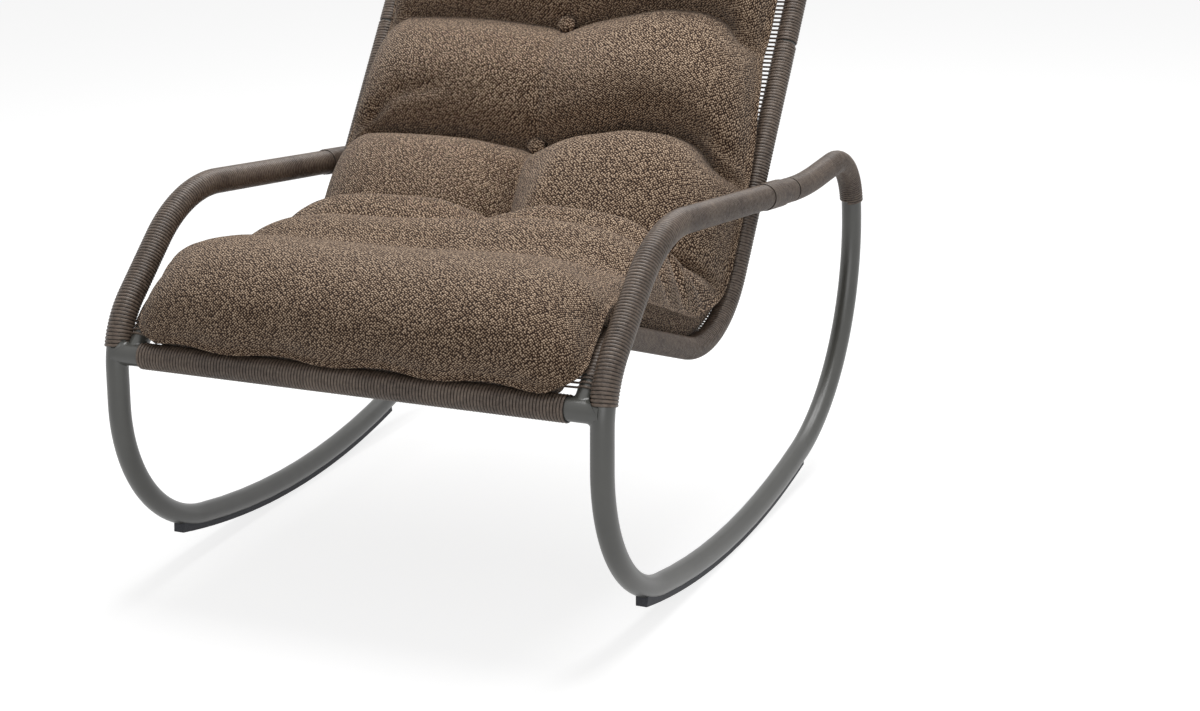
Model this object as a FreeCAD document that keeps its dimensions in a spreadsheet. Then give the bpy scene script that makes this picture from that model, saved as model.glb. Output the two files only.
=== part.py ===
import FreeCAD, Part
import math
import os
import Sketcher

VEC = FreeCAD.Vector
doc = FreeCAD.newDocument("rocking_chair")
sheet = doc.addObject("Spreadsheet::Sheet", "Sheet")

# Driving dimensions in millimetres and degrees.
DIMENSIONS = [
    ("loop_tube_outer", 28.0), ("loop_tube_inner", 24.0),
    ("rail_tube_outer", 24.0), ("rail_tube_inner", 20.8),
    ("strand", 2.7),
    ("loop_half_width", 329.0), ("rail_half_width", 303.0),
    ("depth_shift", -371.0151),
    # arm, leg and runner, walked from the arm's rear joint
    ("joint_depth", 598.0), ("joint_height", 442.3), ("arm_slope", 3.6),
    ("arm_length", 0.0), ("arm_bend_radius", 178.0), ("arm_bend", 48.4),
    ("arm_rise", 86.2), ("knee_radius", 122.0), ("knee_bend", 45.2), ("knee_wrapped", 33.0),
    ("leg_length", 43.7), ("foot_radius", 194.0), ("foot_bend", 82.0),
    ("rocker_radius", 1204.0), ("rocker_sweep", 23.8),
    # rear bend that closes each loop, walked from the runner up to the arm's rear joint
    ("rear_radius", 280.0), ("rear_bend", 84.2), ("corner_radius", 0.0), ("corner_bend", 0.0),
    ("arm_tail", 0.0), ("tail_radius", 700.0), ("tail_bend", 9.0),
    ("quarter_turn", 90.0), ("spigot_half", 25.0), ("spigot_wall", 2.0),
    ("arm_sleeve", 0.0), ("runner_sleeve", 0.0), ("rear_sleeve", 0.0),
    ("front_rail_length", 0.0), ("front_wrap_length", 581.0),
    # seat and back rail, walked from the front rail
    ("front_rail_height", 288.0), ("rise_slope", 46.0), ("rise_length", 53.0),
    ("crest_radius", 80.0), ("crest_bend", 62.85), ("seat_length", 195.7),
    ("lap_radius", 146.6), ("lap_bend", 74.65), ("upright_length", 327.0),
    ("top_lead", 135.0), ("top_radius", 70.0), ("top_span", 0.0),
    ("rise_bare", 38.0), ("rise_wrapped", 0.0),
    ("binding_length", 62.0), ("binding_outer", 37.4),
    # strung deck
    ("deck_pitch", 6.0), ("deck_height", 8.0), ("deck_half_width", 0.0), ("deck_border", 4.0),
    ("deck_start", 24.0), ("deck_rise", 0.0), ("deck_back", 0.0), ("deck_corner", 0.0), ("deck_ease", 0.2),
    # cushion
    ("cushion_half_width", 300.0), ("cushion_base", 9.8), ("button_outer", 23.0), ("button_height", 9.0),
    ("button_rim", 3.2), ("button_sunk", 3.5), ("bed_depth", 40.0),
    # strip under the runner
    ("strip_height", 15.0), ("strip_top", 17.0), ("strip_bottom", 14.4), ("strip_below", 5.0),
    ("strip_front", -10.5), ("strip_sweep", 26.0),
    ("screw_head", 7.0), ("screw_head_height", 2.4), ("screw_shank", 3.6), ("screw_length", 14.0),
    ("screw_recess", 0.8),
    # how far the chair leans back about the rocker's centre when it stands at rest
    ("rest_lean", 3.74),
]
for row, (alias, value) in enumerate(DIMENSIONS, start=1):
    sheet.set("A%d" % row, alias)
    sheet.set("B%d" % row, "%.6g" % value)
    sheet.setAlias("B%d" % row, alias)
doc.recompute()


def size(alias):
    """Value of a cell."""
    return float(sheet.get(alias))


def solve(alias, value):
    """Store a dimension that follows from the others."""
    row = [name for name, _ in DIMENSIONS].index(alias) + 1
    sheet.set("B%d" % row, "%.6f" % value)
    doc.recompute()


def walk(start, heading, segments):
    """End point and heading of a planar path of straights and bends."""
    y, z = start
    angle = math.radians(heading)
    for seg in segments:
        if len(seg) == 1:
            y += size(seg[0]) * math.cos(angle)
            z += size(seg[0]) * math.sin(angle)
        else:
            turn = math.radians(size(seg[1])) * seg[2]
            radius = size(seg[0]) * seg[2]
            y += radius * (math.sin(angle + turn) - math.sin(angle))
            z += radius * (math.cos(angle) - math.cos(angle + turn))
            angle += turn
    return (y, z), math.degrees(angle)


LEFT, RIGHT = 1, -1
# Air between faces that only meet, and how far a cutting shape passes the face it cuts.
CLEAR, OVER = 0.01, 1.0
ARM = [("arm_length",), ("arm_bend_radius", "arm_bend", LEFT), ("arm_rise",)]
KNEE = [("knee_radius", "knee_bend", LEFT)]
FOOT = [("leg_length",), ("foot_radius", "foot_bend", LEFT)]
RUNNER = [("rocker_radius", "rocker_sweep", LEFT)]
REAR = [("rear_radius", "rear_bend", LEFT), ("corner_radius", "corner_bend", LEFT), ("arm_tail",)]
TAIL_CURVE = [("tail_radius", "tail_bend", RIGHT)]
RISE = [("rise_length",), ("crest_radius", "crest_bend", RIGHT)]
SEAT = [("seat_length",), ("lap_radius", "lap_bend", LEFT)]

# The arm is as long as puts the leg's axis at depth 0.
reach, _ = walk((size("joint_depth"), size("joint_height")), 180.0 - size("arm_slope"), ARM + KNEE)
solve("arm_length", reach[0] / math.cos(math.radians(size("arm_slope"))))
solve("rise_wrapped", size("rise_length") - size("rise_bare"))
solve("deck_rise", size("rise_length") - size("deck_start"))
# The deck's edge meets the winding of the rails, a little above their middle.
wound = size("rail_tube_outer") / 2 + size("strand")
edge = math.sqrt(wound ** 2 - (size("deck_height") - size("strand") / 2) ** 2) + CLEAR
solve("deck_half_width", size("rail_half_width") - edge)
solve("deck_corner", size("top_radius") - edge)
solve("deck_back", size("upright_length") + size("top_lead") + size("deck_corner") + size("deck_ease"))
solve("front_rail_length", 2 * size("loop_half_width"))

# The rocker's centre is where the fitted side view puts it; the chair leans about it, so the floor stays.
UPRIGHT_JOINT = (size("joint_depth"), size("joint_height"))
foot_end, foot_heading = walk(UPRIGHT_JOINT, 180.0 - size("arm_slope"), ARM + KNEE + FOOT)
ROCKER = (foot_end[0] - size("rocker_radius") * math.sin(math.radians(foot_heading)),
          foot_end[1] + size("rocker_radius") * math.cos(math.radians(foot_heading)))


def lean(point):
    """Point of the side view after the chair has settled back to its rest."""
    angle = math.radians(size("rest_lean"))
    dy, dz = point[0] - ROCKER[0], point[1] - ROCKER[1]
    return (ROCKER[0] + dy * math.cos(angle) + dz * math.sin(angle),
            ROCKER[1] - dy * math.sin(angle) + dz * math.cos(angle))


JOINT = lean(UPRIGHT_JOINT)
START = 180.0 - size("arm_slope") - size("rest_lean")
RISE_HEADING = size("rise_slope") - size("rest_lean")
RUNNER_END, RUNNER_HEADING = walk(JOINT, START, ARM + KNEE + FOOT + RUNNER)
# The corner turns into the line of the arm's tail with the radius that meets it; the tail fills the rest.
tail_heading = START + size("tail_bend")
curve_start, _ = walk(JOINT, START + 180.0, [("tail_radius", "tail_bend", LEFT)])
rear_end, rear_heading = walk(RUNNER_END, RUNNER_HEADING - 360.0, REAR[:1])
solve("corner_bend", tail_heading - rear_heading)
across_tail = (-math.sin(math.radians(tail_heading)), math.cos(math.radians(tail_heading)))
apart = sum((c - e) * a for c, e, a in zip(curve_start, rear_end, across_tail))
solve("corner_radius", apart / (math.cos(math.radians(size("corner_bend"))) - 1.0))
corner_end, _ = walk(RUNNER_END, RUNNER_HEADING, REAR[:2])
solve("arm_tail", math.dist(corner_end, curve_start))
solve("top_span", 2 * (size("rail_half_width") - size("top_radius")))
RAIL_FOOT = lean((0.0, size("front_rail_height")))
RAIL_HEAD, RAIL_HEADING = walk(RAIL_FOOT, RISE_HEADING, RISE + SEAT + [("upright_length",)])


def place(x, point, heading, inward=False):
    """Placement with local +X along the heading in the side plane; a path turns left towards -X if inward."""
    angle = math.radians(heading)
    along = VEC(0, math.cos(angle), math.sin(angle))
    side = VEC(-1, 0, 0) if inward else VEC(0, -math.sin(angle), math.cos(angle))
    base = VEC(x, point[0] + size("depth_shift"), point[1])
    return FreeCAD.Placement(base, FreeCAD.Rotation(along, side, along.cross(side), "XYZ"))


def attach(sketch, body, role):
    """Put a sketch on one of its body's own origin planes."""
    plane = [f for f in body.Origin.OriginFeatures if f.Role == role][0]
    sketch.AttachmentSupport = [(plane, "")]
    sketch.MapMode = "FlatFace"


def bind(sketch, constraint, name, expression):
    """Add a named dimension and bind it to the sheet."""
    index = sketch.addConstraint(constraint)
    sketch.renameConstraint(index, name)
    sketch.setExpression("Constraints." + name, expression)


def add_path(body, segments):
    """Sketch a chain of straights and bends from the body's origin along +X."""
    sketch = body.newObject("Sketcher::SketchObject", body.Name + "_path")
    attach(sketch, body, "XY_Plane")
    x, y, angle, last = 0.0, 0.0, 0.0, None
    for number, seg in enumerate(segments):
        if len(seg) == 1:
            length = size(seg[0])
            end = VEC(x + length * math.cos(angle), y + length * math.sin(angle), 0)
            item = sketch.addGeometry(Part.LineSegment(VEC(x, y, 0), end), False)
            first, final = 1, 2
            bind(sketch, Sketcher.Constraint("Distance", item, length), "run%d" % number, "Sheet." + seg[0])
        else:
            radius, turn, hand = size(seg[0]), math.radians(size(seg[1])), seg[2]
            centre = VEC(x - hand * radius * math.sin(angle), y + hand * radius * math.cos(angle), 0)
            begin = angle - hand * math.pi / 2
            low = begin if hand > 0 else begin - turn
            arc = Part.ArcOfCircle(Part.Circle(centre, VEC(0, 0, 1), radius), low, low + turn)
            item = sketch.addGeometry(arc, False)
            first, final = (1, 2) if hand > 0 else (2, 1)
            bind(sketch, Sketcher.Constraint("Radius", item, radius), "radius%d" % number, "Sheet." + seg[0])
            bind(sketch, Sketcher.Constraint("Angle", item, turn), "turn%d" % number, "Sheet." + seg[1])
            angle += hand * turn
            end = centre + VEC(math.sin(angle), -math.cos(angle), 0) * (hand * radius)
        if last is None:
            sketch.addConstraint(Sketcher.Constraint("Coincident", item, first, -1, 1))
            if len(seg) == 1:
                sketch.addConstraint(Sketcher.Constraint("Horizontal", item))
            else:
                sketch.addConstraint(Sketcher.Constraint("PointOnObject", item, 3, -2))
        else:
            sketch.addConstraint(Sketcher.Constraint("Tangent", last[0], last[1], item, first))
        last = (item, final)
        x, y = end.x, end.y
    return sketch


def bent_tube(label, segments, placement, outer, inner=None):
    """Round tube along a chain of straights and bends; inner None gives a solid bar."""
    body = doc.addObject("PartDesign::Body", label)
    path = add_path(body, segments)
    ring = body.newObject("Sketcher::SketchObject", label + "_ring")
    attach(ring, body, "YZ_Plane")
    for name, expression in (("outer", outer), ("inner", inner)):
        if expression is None:
            continue
        drawn = size("loop_tube_" + name)
        circle = ring.addGeometry(Part.Circle(VEC(0, 0, 0), VEC(0, 0, 1), drawn / 2), False)
        ring.addConstraint(Sketcher.Constraint("Coincident", circle, 3, -1, 1))
        bind(ring, Sketcher.Constraint("Diameter", circle, drawn), name, expression)
    doc.recompute()
    pipe = body.newObject("PartDesign::AdditivePipe", label + "_pipe")
    pipe.Profile = ring
    pipe.Spine = (path, ["Edge%d" % (n + 1) for n in range(len(segments))])
    pipe.Transition = "Transformed"
    body.Label = label
    body.Placement = placement
    path.Visibility = ring.Visibility = False
    return body


def boolean(label, kind, base, tools):
    """Cut tools from a base, or gather solids as one piece."""
    if kind == "cut":
        tool = tools[0]
        if len(tools) > 1:
            tool = doc.addObject("Part::Compound", label + "_tools")
            tool.Links = tools
        result = doc.addObject("Part::Cut", label)
        result.Base, result.Tool = base, tool
    else:
        result = doc.addObject("Part::Compound", label)
        result.Links = [base] + tools
    result.Label = label
    return result


LOOP_OUTER, LOOP_INNER = "Sheet.loop_tube_outer", "Sheet.loop_tube_inner"
RAIL_OUTER, RAIL_INNER = "Sheet.rail_tube_outer", "Sheet.rail_tube_inner"
LOOP_WRAP = "Sheet.loop_tube_outer + 2 * Sheet.strand"
RAIL_WRAP = "Sheet.rail_tube_outer + 2 * Sheet.strand"
SIDES = (("right", 1), ("left", -1))
exports = []


def keep(item):
    """Hand a finished piece to the export list."""
    exports.append(item)
    return item


def solid_copy(name, segments, placement, outer):
    """Full bar that shapes a neighbour's coped end or seat."""
    return bent_tube(name, segments, placement, outer)


# Side tubes: arm, leg and runner in one bend table, the same on both sides.
KNEE_AT, KNEE_HEADING = walk(JOINT, START, ARM)
LEG_AT, LEG_HEADING = walk(JOINT, START, ARM + KNEE + FOOT[:1])
CREST_AT, CREST_HEADING = walk(RAIL_FOOT, RISE_HEADING, [("rise_length",)])
SEAT_AT, SEAT_HEADING = walk(RAIL_FOOT, RISE_HEADING, RISE)
LAP_AT, LAP_HEADING = walk(RAIL_FOOT, RISE_HEADING, RISE + SEAT[:1])
BACK_AT, BACK_HEADING = walk(RAIL_FOOT, RISE_HEADING, RISE + SEAT)
SCREW_HEADINGS = (-8.4, -1.0, 6.5, 14.0)


def rocker_place(x, heading, radius):
    """Placement on the rocker's arc with local +Z towards the arc's centre."""
    turn = heading - size("rest_lean")
    y = ROCKER[0] + radius * math.sin(math.radians(turn)) + size("depth_shift")
    z = ROCKER[1] - radius * math.cos(math.radians(turn))
    return FreeCAD.Placement(VEC(x, y, z), FreeCAD.Rotation(VEC(1, 0, 0), turn))


def cylinder(name, placement, diameter, length):
    """Plain cylinder along its local +Z."""
    item = doc.addObject("Part::Cylinder", name)
    item.setExpression("Radius", "(%s) / 2" % diameter)
    item.setExpression("Height", length)
    item.Placement = placement
    return item


def screw(name, x, heading):
    """Countersunk screw driven up through the strip into the runner."""
    floor = size("rocker_radius") + size("loop_tube_outer") / 2 + size("strip_below")
    low = floor - size("screw_recess")
    head = doc.addObject("Part::Cone", name + "_head")
    head.setExpression("Radius1", "Sheet.screw_head / 2")
    head.setExpression("Radius2", "Sheet.screw_shank / 2")
    head.setExpression("Height", "Sheet.screw_head_height")
    head.Placement = rocker_place(x, heading, low)
    shank = cylinder(name + "_shank", rocker_place(x, heading, low - size("screw_head_height")),
                     "Sheet.screw_shank", "Sheet.screw_length - Sheet.screw_head_height")
    whole = doc.addObject("Part::Fuse", name)
    whole.Base, whole.Tool = head, shank
    recess = cylinder(name + "_recess", rocker_place(x, heading, floor + OVER), "Sheet.screw_head",
                      "Sheet.screw_recess + %g" % OVER)
    return whole, recess


def strip_blank(name, x):
    """Trapezoid bar swept along the rocker's arc, before the tube's seat is cut."""
    body = doc.addObject("PartDesign::Body", name)
    sketch = body.newObject("Sketcher::SketchObject", name + "_section")
    attach(sketch, body, "XZ_Plane")
    low = -(size("rocker_radius") + size("loop_tube_outer") / 2 + size("strip_below"))
    top = low + size("strip_height")
    wide, narrow = size("strip_top") / 2, size("strip_bottom") / 2
    corners = [VEC(-narrow, low, 0), VEC(narrow, low, 0), VEC(wide, top, 0), VEC(-wide, top, 0)]
    for n in range(4):
        sketch.addGeometry(Part.LineSegment(corners[n], corners[(n + 1) % 4]), False)
    for n in range(4):
        sketch.addConstraint(Sketcher.Constraint("Coincident", n, 2, (n + 1) % 4, 1))
    sketch.addConstraint(Sketcher.Constraint("Symmetric", 0, 1, 0, 2, -2))
    sketch.addConstraint(Sketcher.Constraint("Symmetric", 2, 1, 2, 2, -2))
    bind(sketch, Sketcher.Constraint("DistanceX", 0, 1, 0, 2, 2 * narrow), "bottom", "Sheet.strip_bottom")
    bind(sketch, Sketcher.Constraint("DistanceX", 2, 2, 2, 1, 2 * wide), "top", "Sheet.strip_top")
    bind(sketch, Sketcher.Constraint("DistanceY", 0, 2, 1, 2, top - low), "height", "Sheet.strip_height")
    bind(sketch, Sketcher.Constraint("DistanceY", 0, 1, -1, 1, -low), "radius",
         "Sheet.rocker_radius + Sheet.loop_tube_outer / 2 + Sheet.strip_below")
    doc.recompute()
    sweep = body.newObject("PartDesign::Revolution", name + "_sweep")
    sweep.Profile = sketch
    sweep.ReferenceAxis = ([f for f in body.Origin.OriginFeatures if f.Role == "X_Axis"][0], [""])
    sweep.setExpression("Angle", "Sheet.strip_sweep")
    turn = FreeCAD.Rotation(VEC(1, 0, 0), size("strip_front") - size("rest_lean"))
    body.Placement = FreeCAD.Placement(VEC(x, ROCKER[0] + size("depth_shift"), ROCKER[1]), turn)
    return body


screws = []
for side, sign in SIDES:
    x = sign * size("loop_half_width")
    pairs = [screw("screw_%s%d" % (side, n), x, heading) for n, heading in enumerate(SCREW_HEADINGS)]
    screws += [pair[0] for pair in pairs]
    blank = bent_tube("side_blank_" + side, ARM + KNEE + FOOT + RUNNER, place(x, JOINT, START),
                      LOOP_OUTER, LOOP_INNER)
    keep(boolean("side_tube_" + side, "cut", blank, [pair[0] for pair in pairs]))
    full = solid_copy("runner_full_" + side, [("foot_radius", "foot_bend", LEFT)] + RUNNER,
                      place(x, LEG_AT, LEG_HEADING), LOOP_OUTER)
    holes = [item for pair in pairs for item in pair]
    keep(boolean("runner_strip_" + side, "cut", strip_blank("strip_blank_" + side, x), [full] + holes))
keep(boolean("strip_screws", "gather", screws[0], screws[1:]))

# Rear bends close the loops; their upper half carries the arms' winding on.
CORNER_AT, CORNER_HEADING = walk(RUNNER_END, RUNNER_HEADING, REAR[:1])
for side, sign in SIDES:
    x = sign * size("loop_half_width")
    keep(bent_tube("rear_bend_" + side, REAR + TAIL_CURVE, place(x, RUNNER_END, RUNNER_HEADING),
                   LOOP_OUTER, LOOP_INNER))
    keep(bent_tube("rear_wrap_" + side, REAR[1:] + TAIL_CURVE, place(x, CORNER_AT, CORNER_HEADING),
                   LOOP_WRAP, LOOP_OUTER))


def spigots(label, half, point, heading, outer, segments):
    """Pair of inner sleeves across a butt joint, one on each side, bent as the tubes are."""
    pair = [bent_tube(label + "_" + side, segments, place(sign * half, point, heading),
                      outer, outer + " - 2 * Sheet.spigot_wall") for side, sign in SIDES]
    return keep(boolean(label, "gather", pair[0], pair[1:]))


# A sleeve reaches as far into a bent tube as into a straight one.
for part, radius in (("arm", "tail"), ("runner", "rocker"), ("rear", "rear")):
    solve(part + "_sleeve", math.degrees(size("spigot_half") / size(radius + "_radius")))
sleeve_at, _ = walk(JOINT, START + 180.0, [("tail_radius", "arm_sleeve", LEFT)])
spigots("arm_spigots", size("loop_half_width"), sleeve_at, START + size("arm_sleeve"), LOOP_INNER,
        [("tail_radius", "arm_sleeve", RIGHT), ("spigot_half",)])
sleeve_at, _ = walk(RUNNER_END, RUNNER_HEADING + 180.0, [("rocker_radius", "runner_sleeve", RIGHT)])
spigots("runner_spigots", size("loop_half_width"), sleeve_at, RUNNER_HEADING - size("runner_sleeve"),
        LOOP_INNER, [("rocker_radius", "runner_sleeve", LEFT), ("rear_radius", "rear_sleeve", LEFT)])

# Front rail between the legs, coped to them, with its winding.
across = FreeCAD.Rotation(VEC(-1, 0, 0), VEC(0, 0, 1), VEC(0, 1, 0), "XYZ")
rail_depth, rail_height = RAIL_FOOT[0] + size("depth_shift"), RAIL_FOOT[1]
rail_at = VEC(size("front_rail_length") / 2, rail_depth, rail_height)
rail_blank = bent_tube("front_rail_blank", [("front_rail_length",)], FreeCAD.Placement(rail_at, across),
                       LOOP_OUTER, LOOP_INNER)
legs = []
for side, sign in SIDES:
    knee = place(sign * size("loop_half_width"), KNEE_AT, KNEE_HEADING)
    legs.append(solid_copy("leg_full_" + side, KNEE + FOOT[:1], knee, LOOP_OUTER))
keep(boolean("front_rail_tube", "cut", rail_blank, legs))
wrap_at = VEC(size("front_wrap_length") / 2, rail_depth, rail_height)
keep(bent_tube("front_rail_wrap", [("front_wrap_length",)], FreeCAD.Placement(wrap_at, across),
               LOOP_WRAP, LOOP_OUTER))

# Seat and back rails stand on the front rail, lie against the arms and carry the top.
rail_full = solid_copy("front_rail_full", [("front_rail_length",)], FreeCAD.Placement(rail_at, across),
                       LOOP_OUTER)
UPRIGHT = [("upright_length",)]
CREST = [("rise_wrapped",), ("crest_radius", "crest_bend", RIGHT)]
WRAPPED = CREST + SEAT + UPRIGHT
WRAP_AT, _ = walk(RAIL_FOOT, RISE_HEADING, [("rise_bare",)])
ARM_WRAPPED = ARM + [("knee_radius", "knee_wrapped", LEFT)]
for side, sign in SIDES:
    x, arm_x = sign * size("rail_half_width"), sign * size("loop_half_width")
    blank = bent_tube("rail_blank_" + side, RISE + SEAT + UPRIGHT, place(x, RAIL_FOOT, RISE_HEADING),
                      RAIL_OUTER, RAIL_INNER)
    keep(boolean("seat_back_rail_" + side, "cut", blank, [rail_full]))
    arm_full = solid_copy("arm_full_" + side, [("arm_length",)], place(arm_x, JOINT, START), LOOP_OUTER)
    rail_round = solid_copy("upright_full_" + side, UPRIGHT, place(x, BACK_AT, BACK_HEADING), RAIL_WRAP)
    foot, wrap_start = place(x, RAIL_FOOT, RISE_HEADING), place(x, WRAP_AT, RISE_HEADING)
    rise_full = solid_copy("rise_full_" + side, [("rise_bare",)], foot, RAIL_OUTER)
    crest_round = solid_copy("crest_full_" + side, CREST, wrap_start, RAIL_WRAP)
    winding = bent_tube("rail_winding_" + side, WRAPPED, wrap_start, RAIL_WRAP, RAIL_OUTER)
    keep(boolean("rail_wrap_" + side, "cut", winding, [arm_full]))
    winding = bent_tube("arm_winding_" + side, ARM_WRAPPED, place(arm_x, JOINT, START), LOOP_WRAP, LOOP_OUTER)
    keep(boolean("arm_wrap_" + side, "cut", winding, [rail_round, rail_full, rise_full, crest_round]))

# The back's top is one more planar U.
TOP = [("top_lead",), ("top_radius", "quarter_turn", LEFT), ("top_span",),
       ("top_radius", "quarter_turn", LEFT), ("top_lead",)]
top_place = place(size("rail_half_width"), RAIL_HEAD, RAIL_HEADING, inward=True)
keep(bent_tube("back_top_tube", TOP, top_place, RAIL_OUTER, RAIL_INNER))
keep(bent_tube("top_wrap", TOP, top_place, RAIL_WRAP, RAIL_OUTER))
sleeve_at, _ = walk(RAIL_HEAD, RAIL_HEADING + 180.0, [("spigot_half",)])
spigots("top_spigots", size("rail_half_width"), sleeve_at, RAIL_HEADING, RAIL_INNER,
        [("spigot_half",), ("spigot_half",)])


def offset(point, heading, height):
    """Point at a height above a path."""
    angle = math.radians(heading)
    return (point[0] - height * math.sin(angle), point[1] + height * math.cos(angle))


def rectangle(sketch, x0, x1, y0, y1, names, tag=""):
    """Rectangle whose four edges are bound to expressions, in the order left, right, bottom, top."""
    corners = [VEC(x0, y0, 0), VEC(x1, y0, 0), VEC(x1, y1, 0), VEC(x0, y1, 0)]
    edges = [sketch.addGeometry(Part.LineSegment(corners[n], corners[(n + 1) % 4]), False) for n in range(4)]
    for n, kind in enumerate(("Horizontal", "Vertical", "Horizontal", "Vertical")):
        sketch.addConstraint(Sketcher.Constraint("Coincident", edges[n], 2, edges[(n + 1) % 4], 1))
        sketch.addConstraint(Sketcher.Constraint(kind, edges[n]))
    low, high = edges[0], edges[2]
    bind(sketch, Sketcher.Constraint("DistanceX", -1, 1, low, 1, x0), "left" + tag, names[0])
    bind(sketch, Sketcher.Constraint("DistanceX", -1, 1, low, 2, x1), "right" + tag, names[1])
    bind(sketch, Sketcher.Constraint("DistanceY", -1, 1, low, 1, y0), "bottom" + tag, names[2])
    bind(sketch, Sketcher.Constraint("DistanceY", -1, 1, high, 1, y1), "top" + tag, names[3])


def axis_of(body, role):
    return ([f for f in body.Origin.OriginFeatures if f.Role == role][0], [""])


HALF, GAP_HALF = "Sheet.deck_half_width", "(Sheet.deck_half_width - Sheet.deck_border)"


def gap_edges(number):
    """Near and far edge of a gap between strands, as expressions."""
    near = "Sheet.deck_ease + Sheet.strand + Sheet.deck_pitch * %d" % number
    return near, "Sheet.deck_ease + Sheet.deck_pitch * %d" % (number + 1)


def round_corners(body, pad, length):
    """Round the far corners of a panel to lie inside the back's top bends."""
    far = length - size("deck_ease")
    names = ["Edge%d" % (n + 1) for n, edge in enumerate(pad.Shape.Edges)
             if all(abs(v.X - far) < CLEAR for v in edge.Vertexes)
             and abs(edge.Length - size("strand")) < CLEAR]
    corners = body.newObject("PartDesign::Fillet", body.Name + "_corners")
    corners.Base = (pad, names)
    corners.setExpression("Radius", "Sheet.deck_corner")


def corner_gaps(body, first, last):
    """Gaps that get shorter towards the top, between the rounded corners."""
    sketch = body.newObject("Sketcher::SketchObject", body.Name + "_short_gaps")
    attach(sketch, body, "XZ_Plane")
    bend = size("deck_back") - size("deck_ease") - size("deck_corner")
    for number in range(first, last):
        near = size("deck_ease") + size("strand") + size("deck_pitch") * number
        far = size("deck_ease") + size("deck_pitch") * (number + 1)
        inset = math.sqrt(size("deck_corner") ** 2 - (far - bend) ** 2) - size("deck_border")
        half = size("top_span") / 2 + inset
        reach = "sqrt(Sheet.deck_corner ^ 2 - (%.4f) ^ 2) - Sheet.deck_border" % (far - bend)
        reach = "(Sheet.top_span / 2 + %s)" % reach
        rectangle(sketch, near, far, -half, half, gap_edges(number) + ("-" + reach, reach), str(number))
    doc.recompute()
    pocket = body.newObject("PartDesign::Pocket", body.Name + "_short_pocket")
    pocket.Profile = sketch
    pocket.Midplane = True
    pocket.Type = "ThroughAll"
    return pocket


def flat_deck(label, length_alias, point, heading, rounded=False):
    """Strands stretched across a straight run of the rails: one panel with a gap between strands."""
    body = doc.addObject("PartDesign::Body", label)
    panel = body.newObject("Sketcher::SketchObject", label + "_panel")
    attach(panel, body, "XZ_Plane")
    ease, length, half = size("deck_ease"), size(length_alias), size("deck_half_width")
    rectangle(panel, ease, length - ease, -half, half,
              ("Sheet.deck_ease", "Sheet.%s - Sheet.deck_ease" % length_alias, "-" + HALF, HALF))
    doc.recompute()
    pad = body.newObject("PartDesign::Pad", label + "_pad")
    pad.Profile = panel
    pad.Midplane = True
    pad.setExpression("Length", "Sheet.strand")
    doc.recompute()
    strand, pitch, gap_half = size("strand"), size("deck_pitch"), half - size("deck_border")
    total = count = int((length - 2 * ease - strand) / pitch)
    if rounded:
        round_corners(body, pad, length)
        count = int((length - 2 * ease - strand - size("deck_corner")) / pitch)
    gap = body.newObject("Sketcher::SketchObject", label + "_gap")
    attach(gap, body, "XZ_Plane")
    rectangle(gap, ease + strand, ease + pitch, -gap_half, gap_half,
              gap_edges(0) + ("-" + GAP_HALF, GAP_HALF))
    doc.recompute()
    pocket = body.newObject("PartDesign::Pocket", label + "_pocket")
    pocket.Profile = gap
    pocket.Midplane = True
    pocket.Type = "ThroughAll"
    pattern = body.newObject("PartDesign::LinearPattern", label + "_pattern")
    pattern.Originals = [pocket]
    pattern.Direction = axis_of(body, "X_Axis")
    pattern.Occurrences = count
    pattern.setExpression("Length", "Sheet.deck_pitch * %d" % (count - 1))
    body.Tip = pattern
    doc.recompute()
    if rounded:
        body.Tip = corner_gaps(body, count, total)
    body.Placement = place(0.0, offset(point, heading, size("deck_height")), heading)
    return keep(body)


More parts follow.
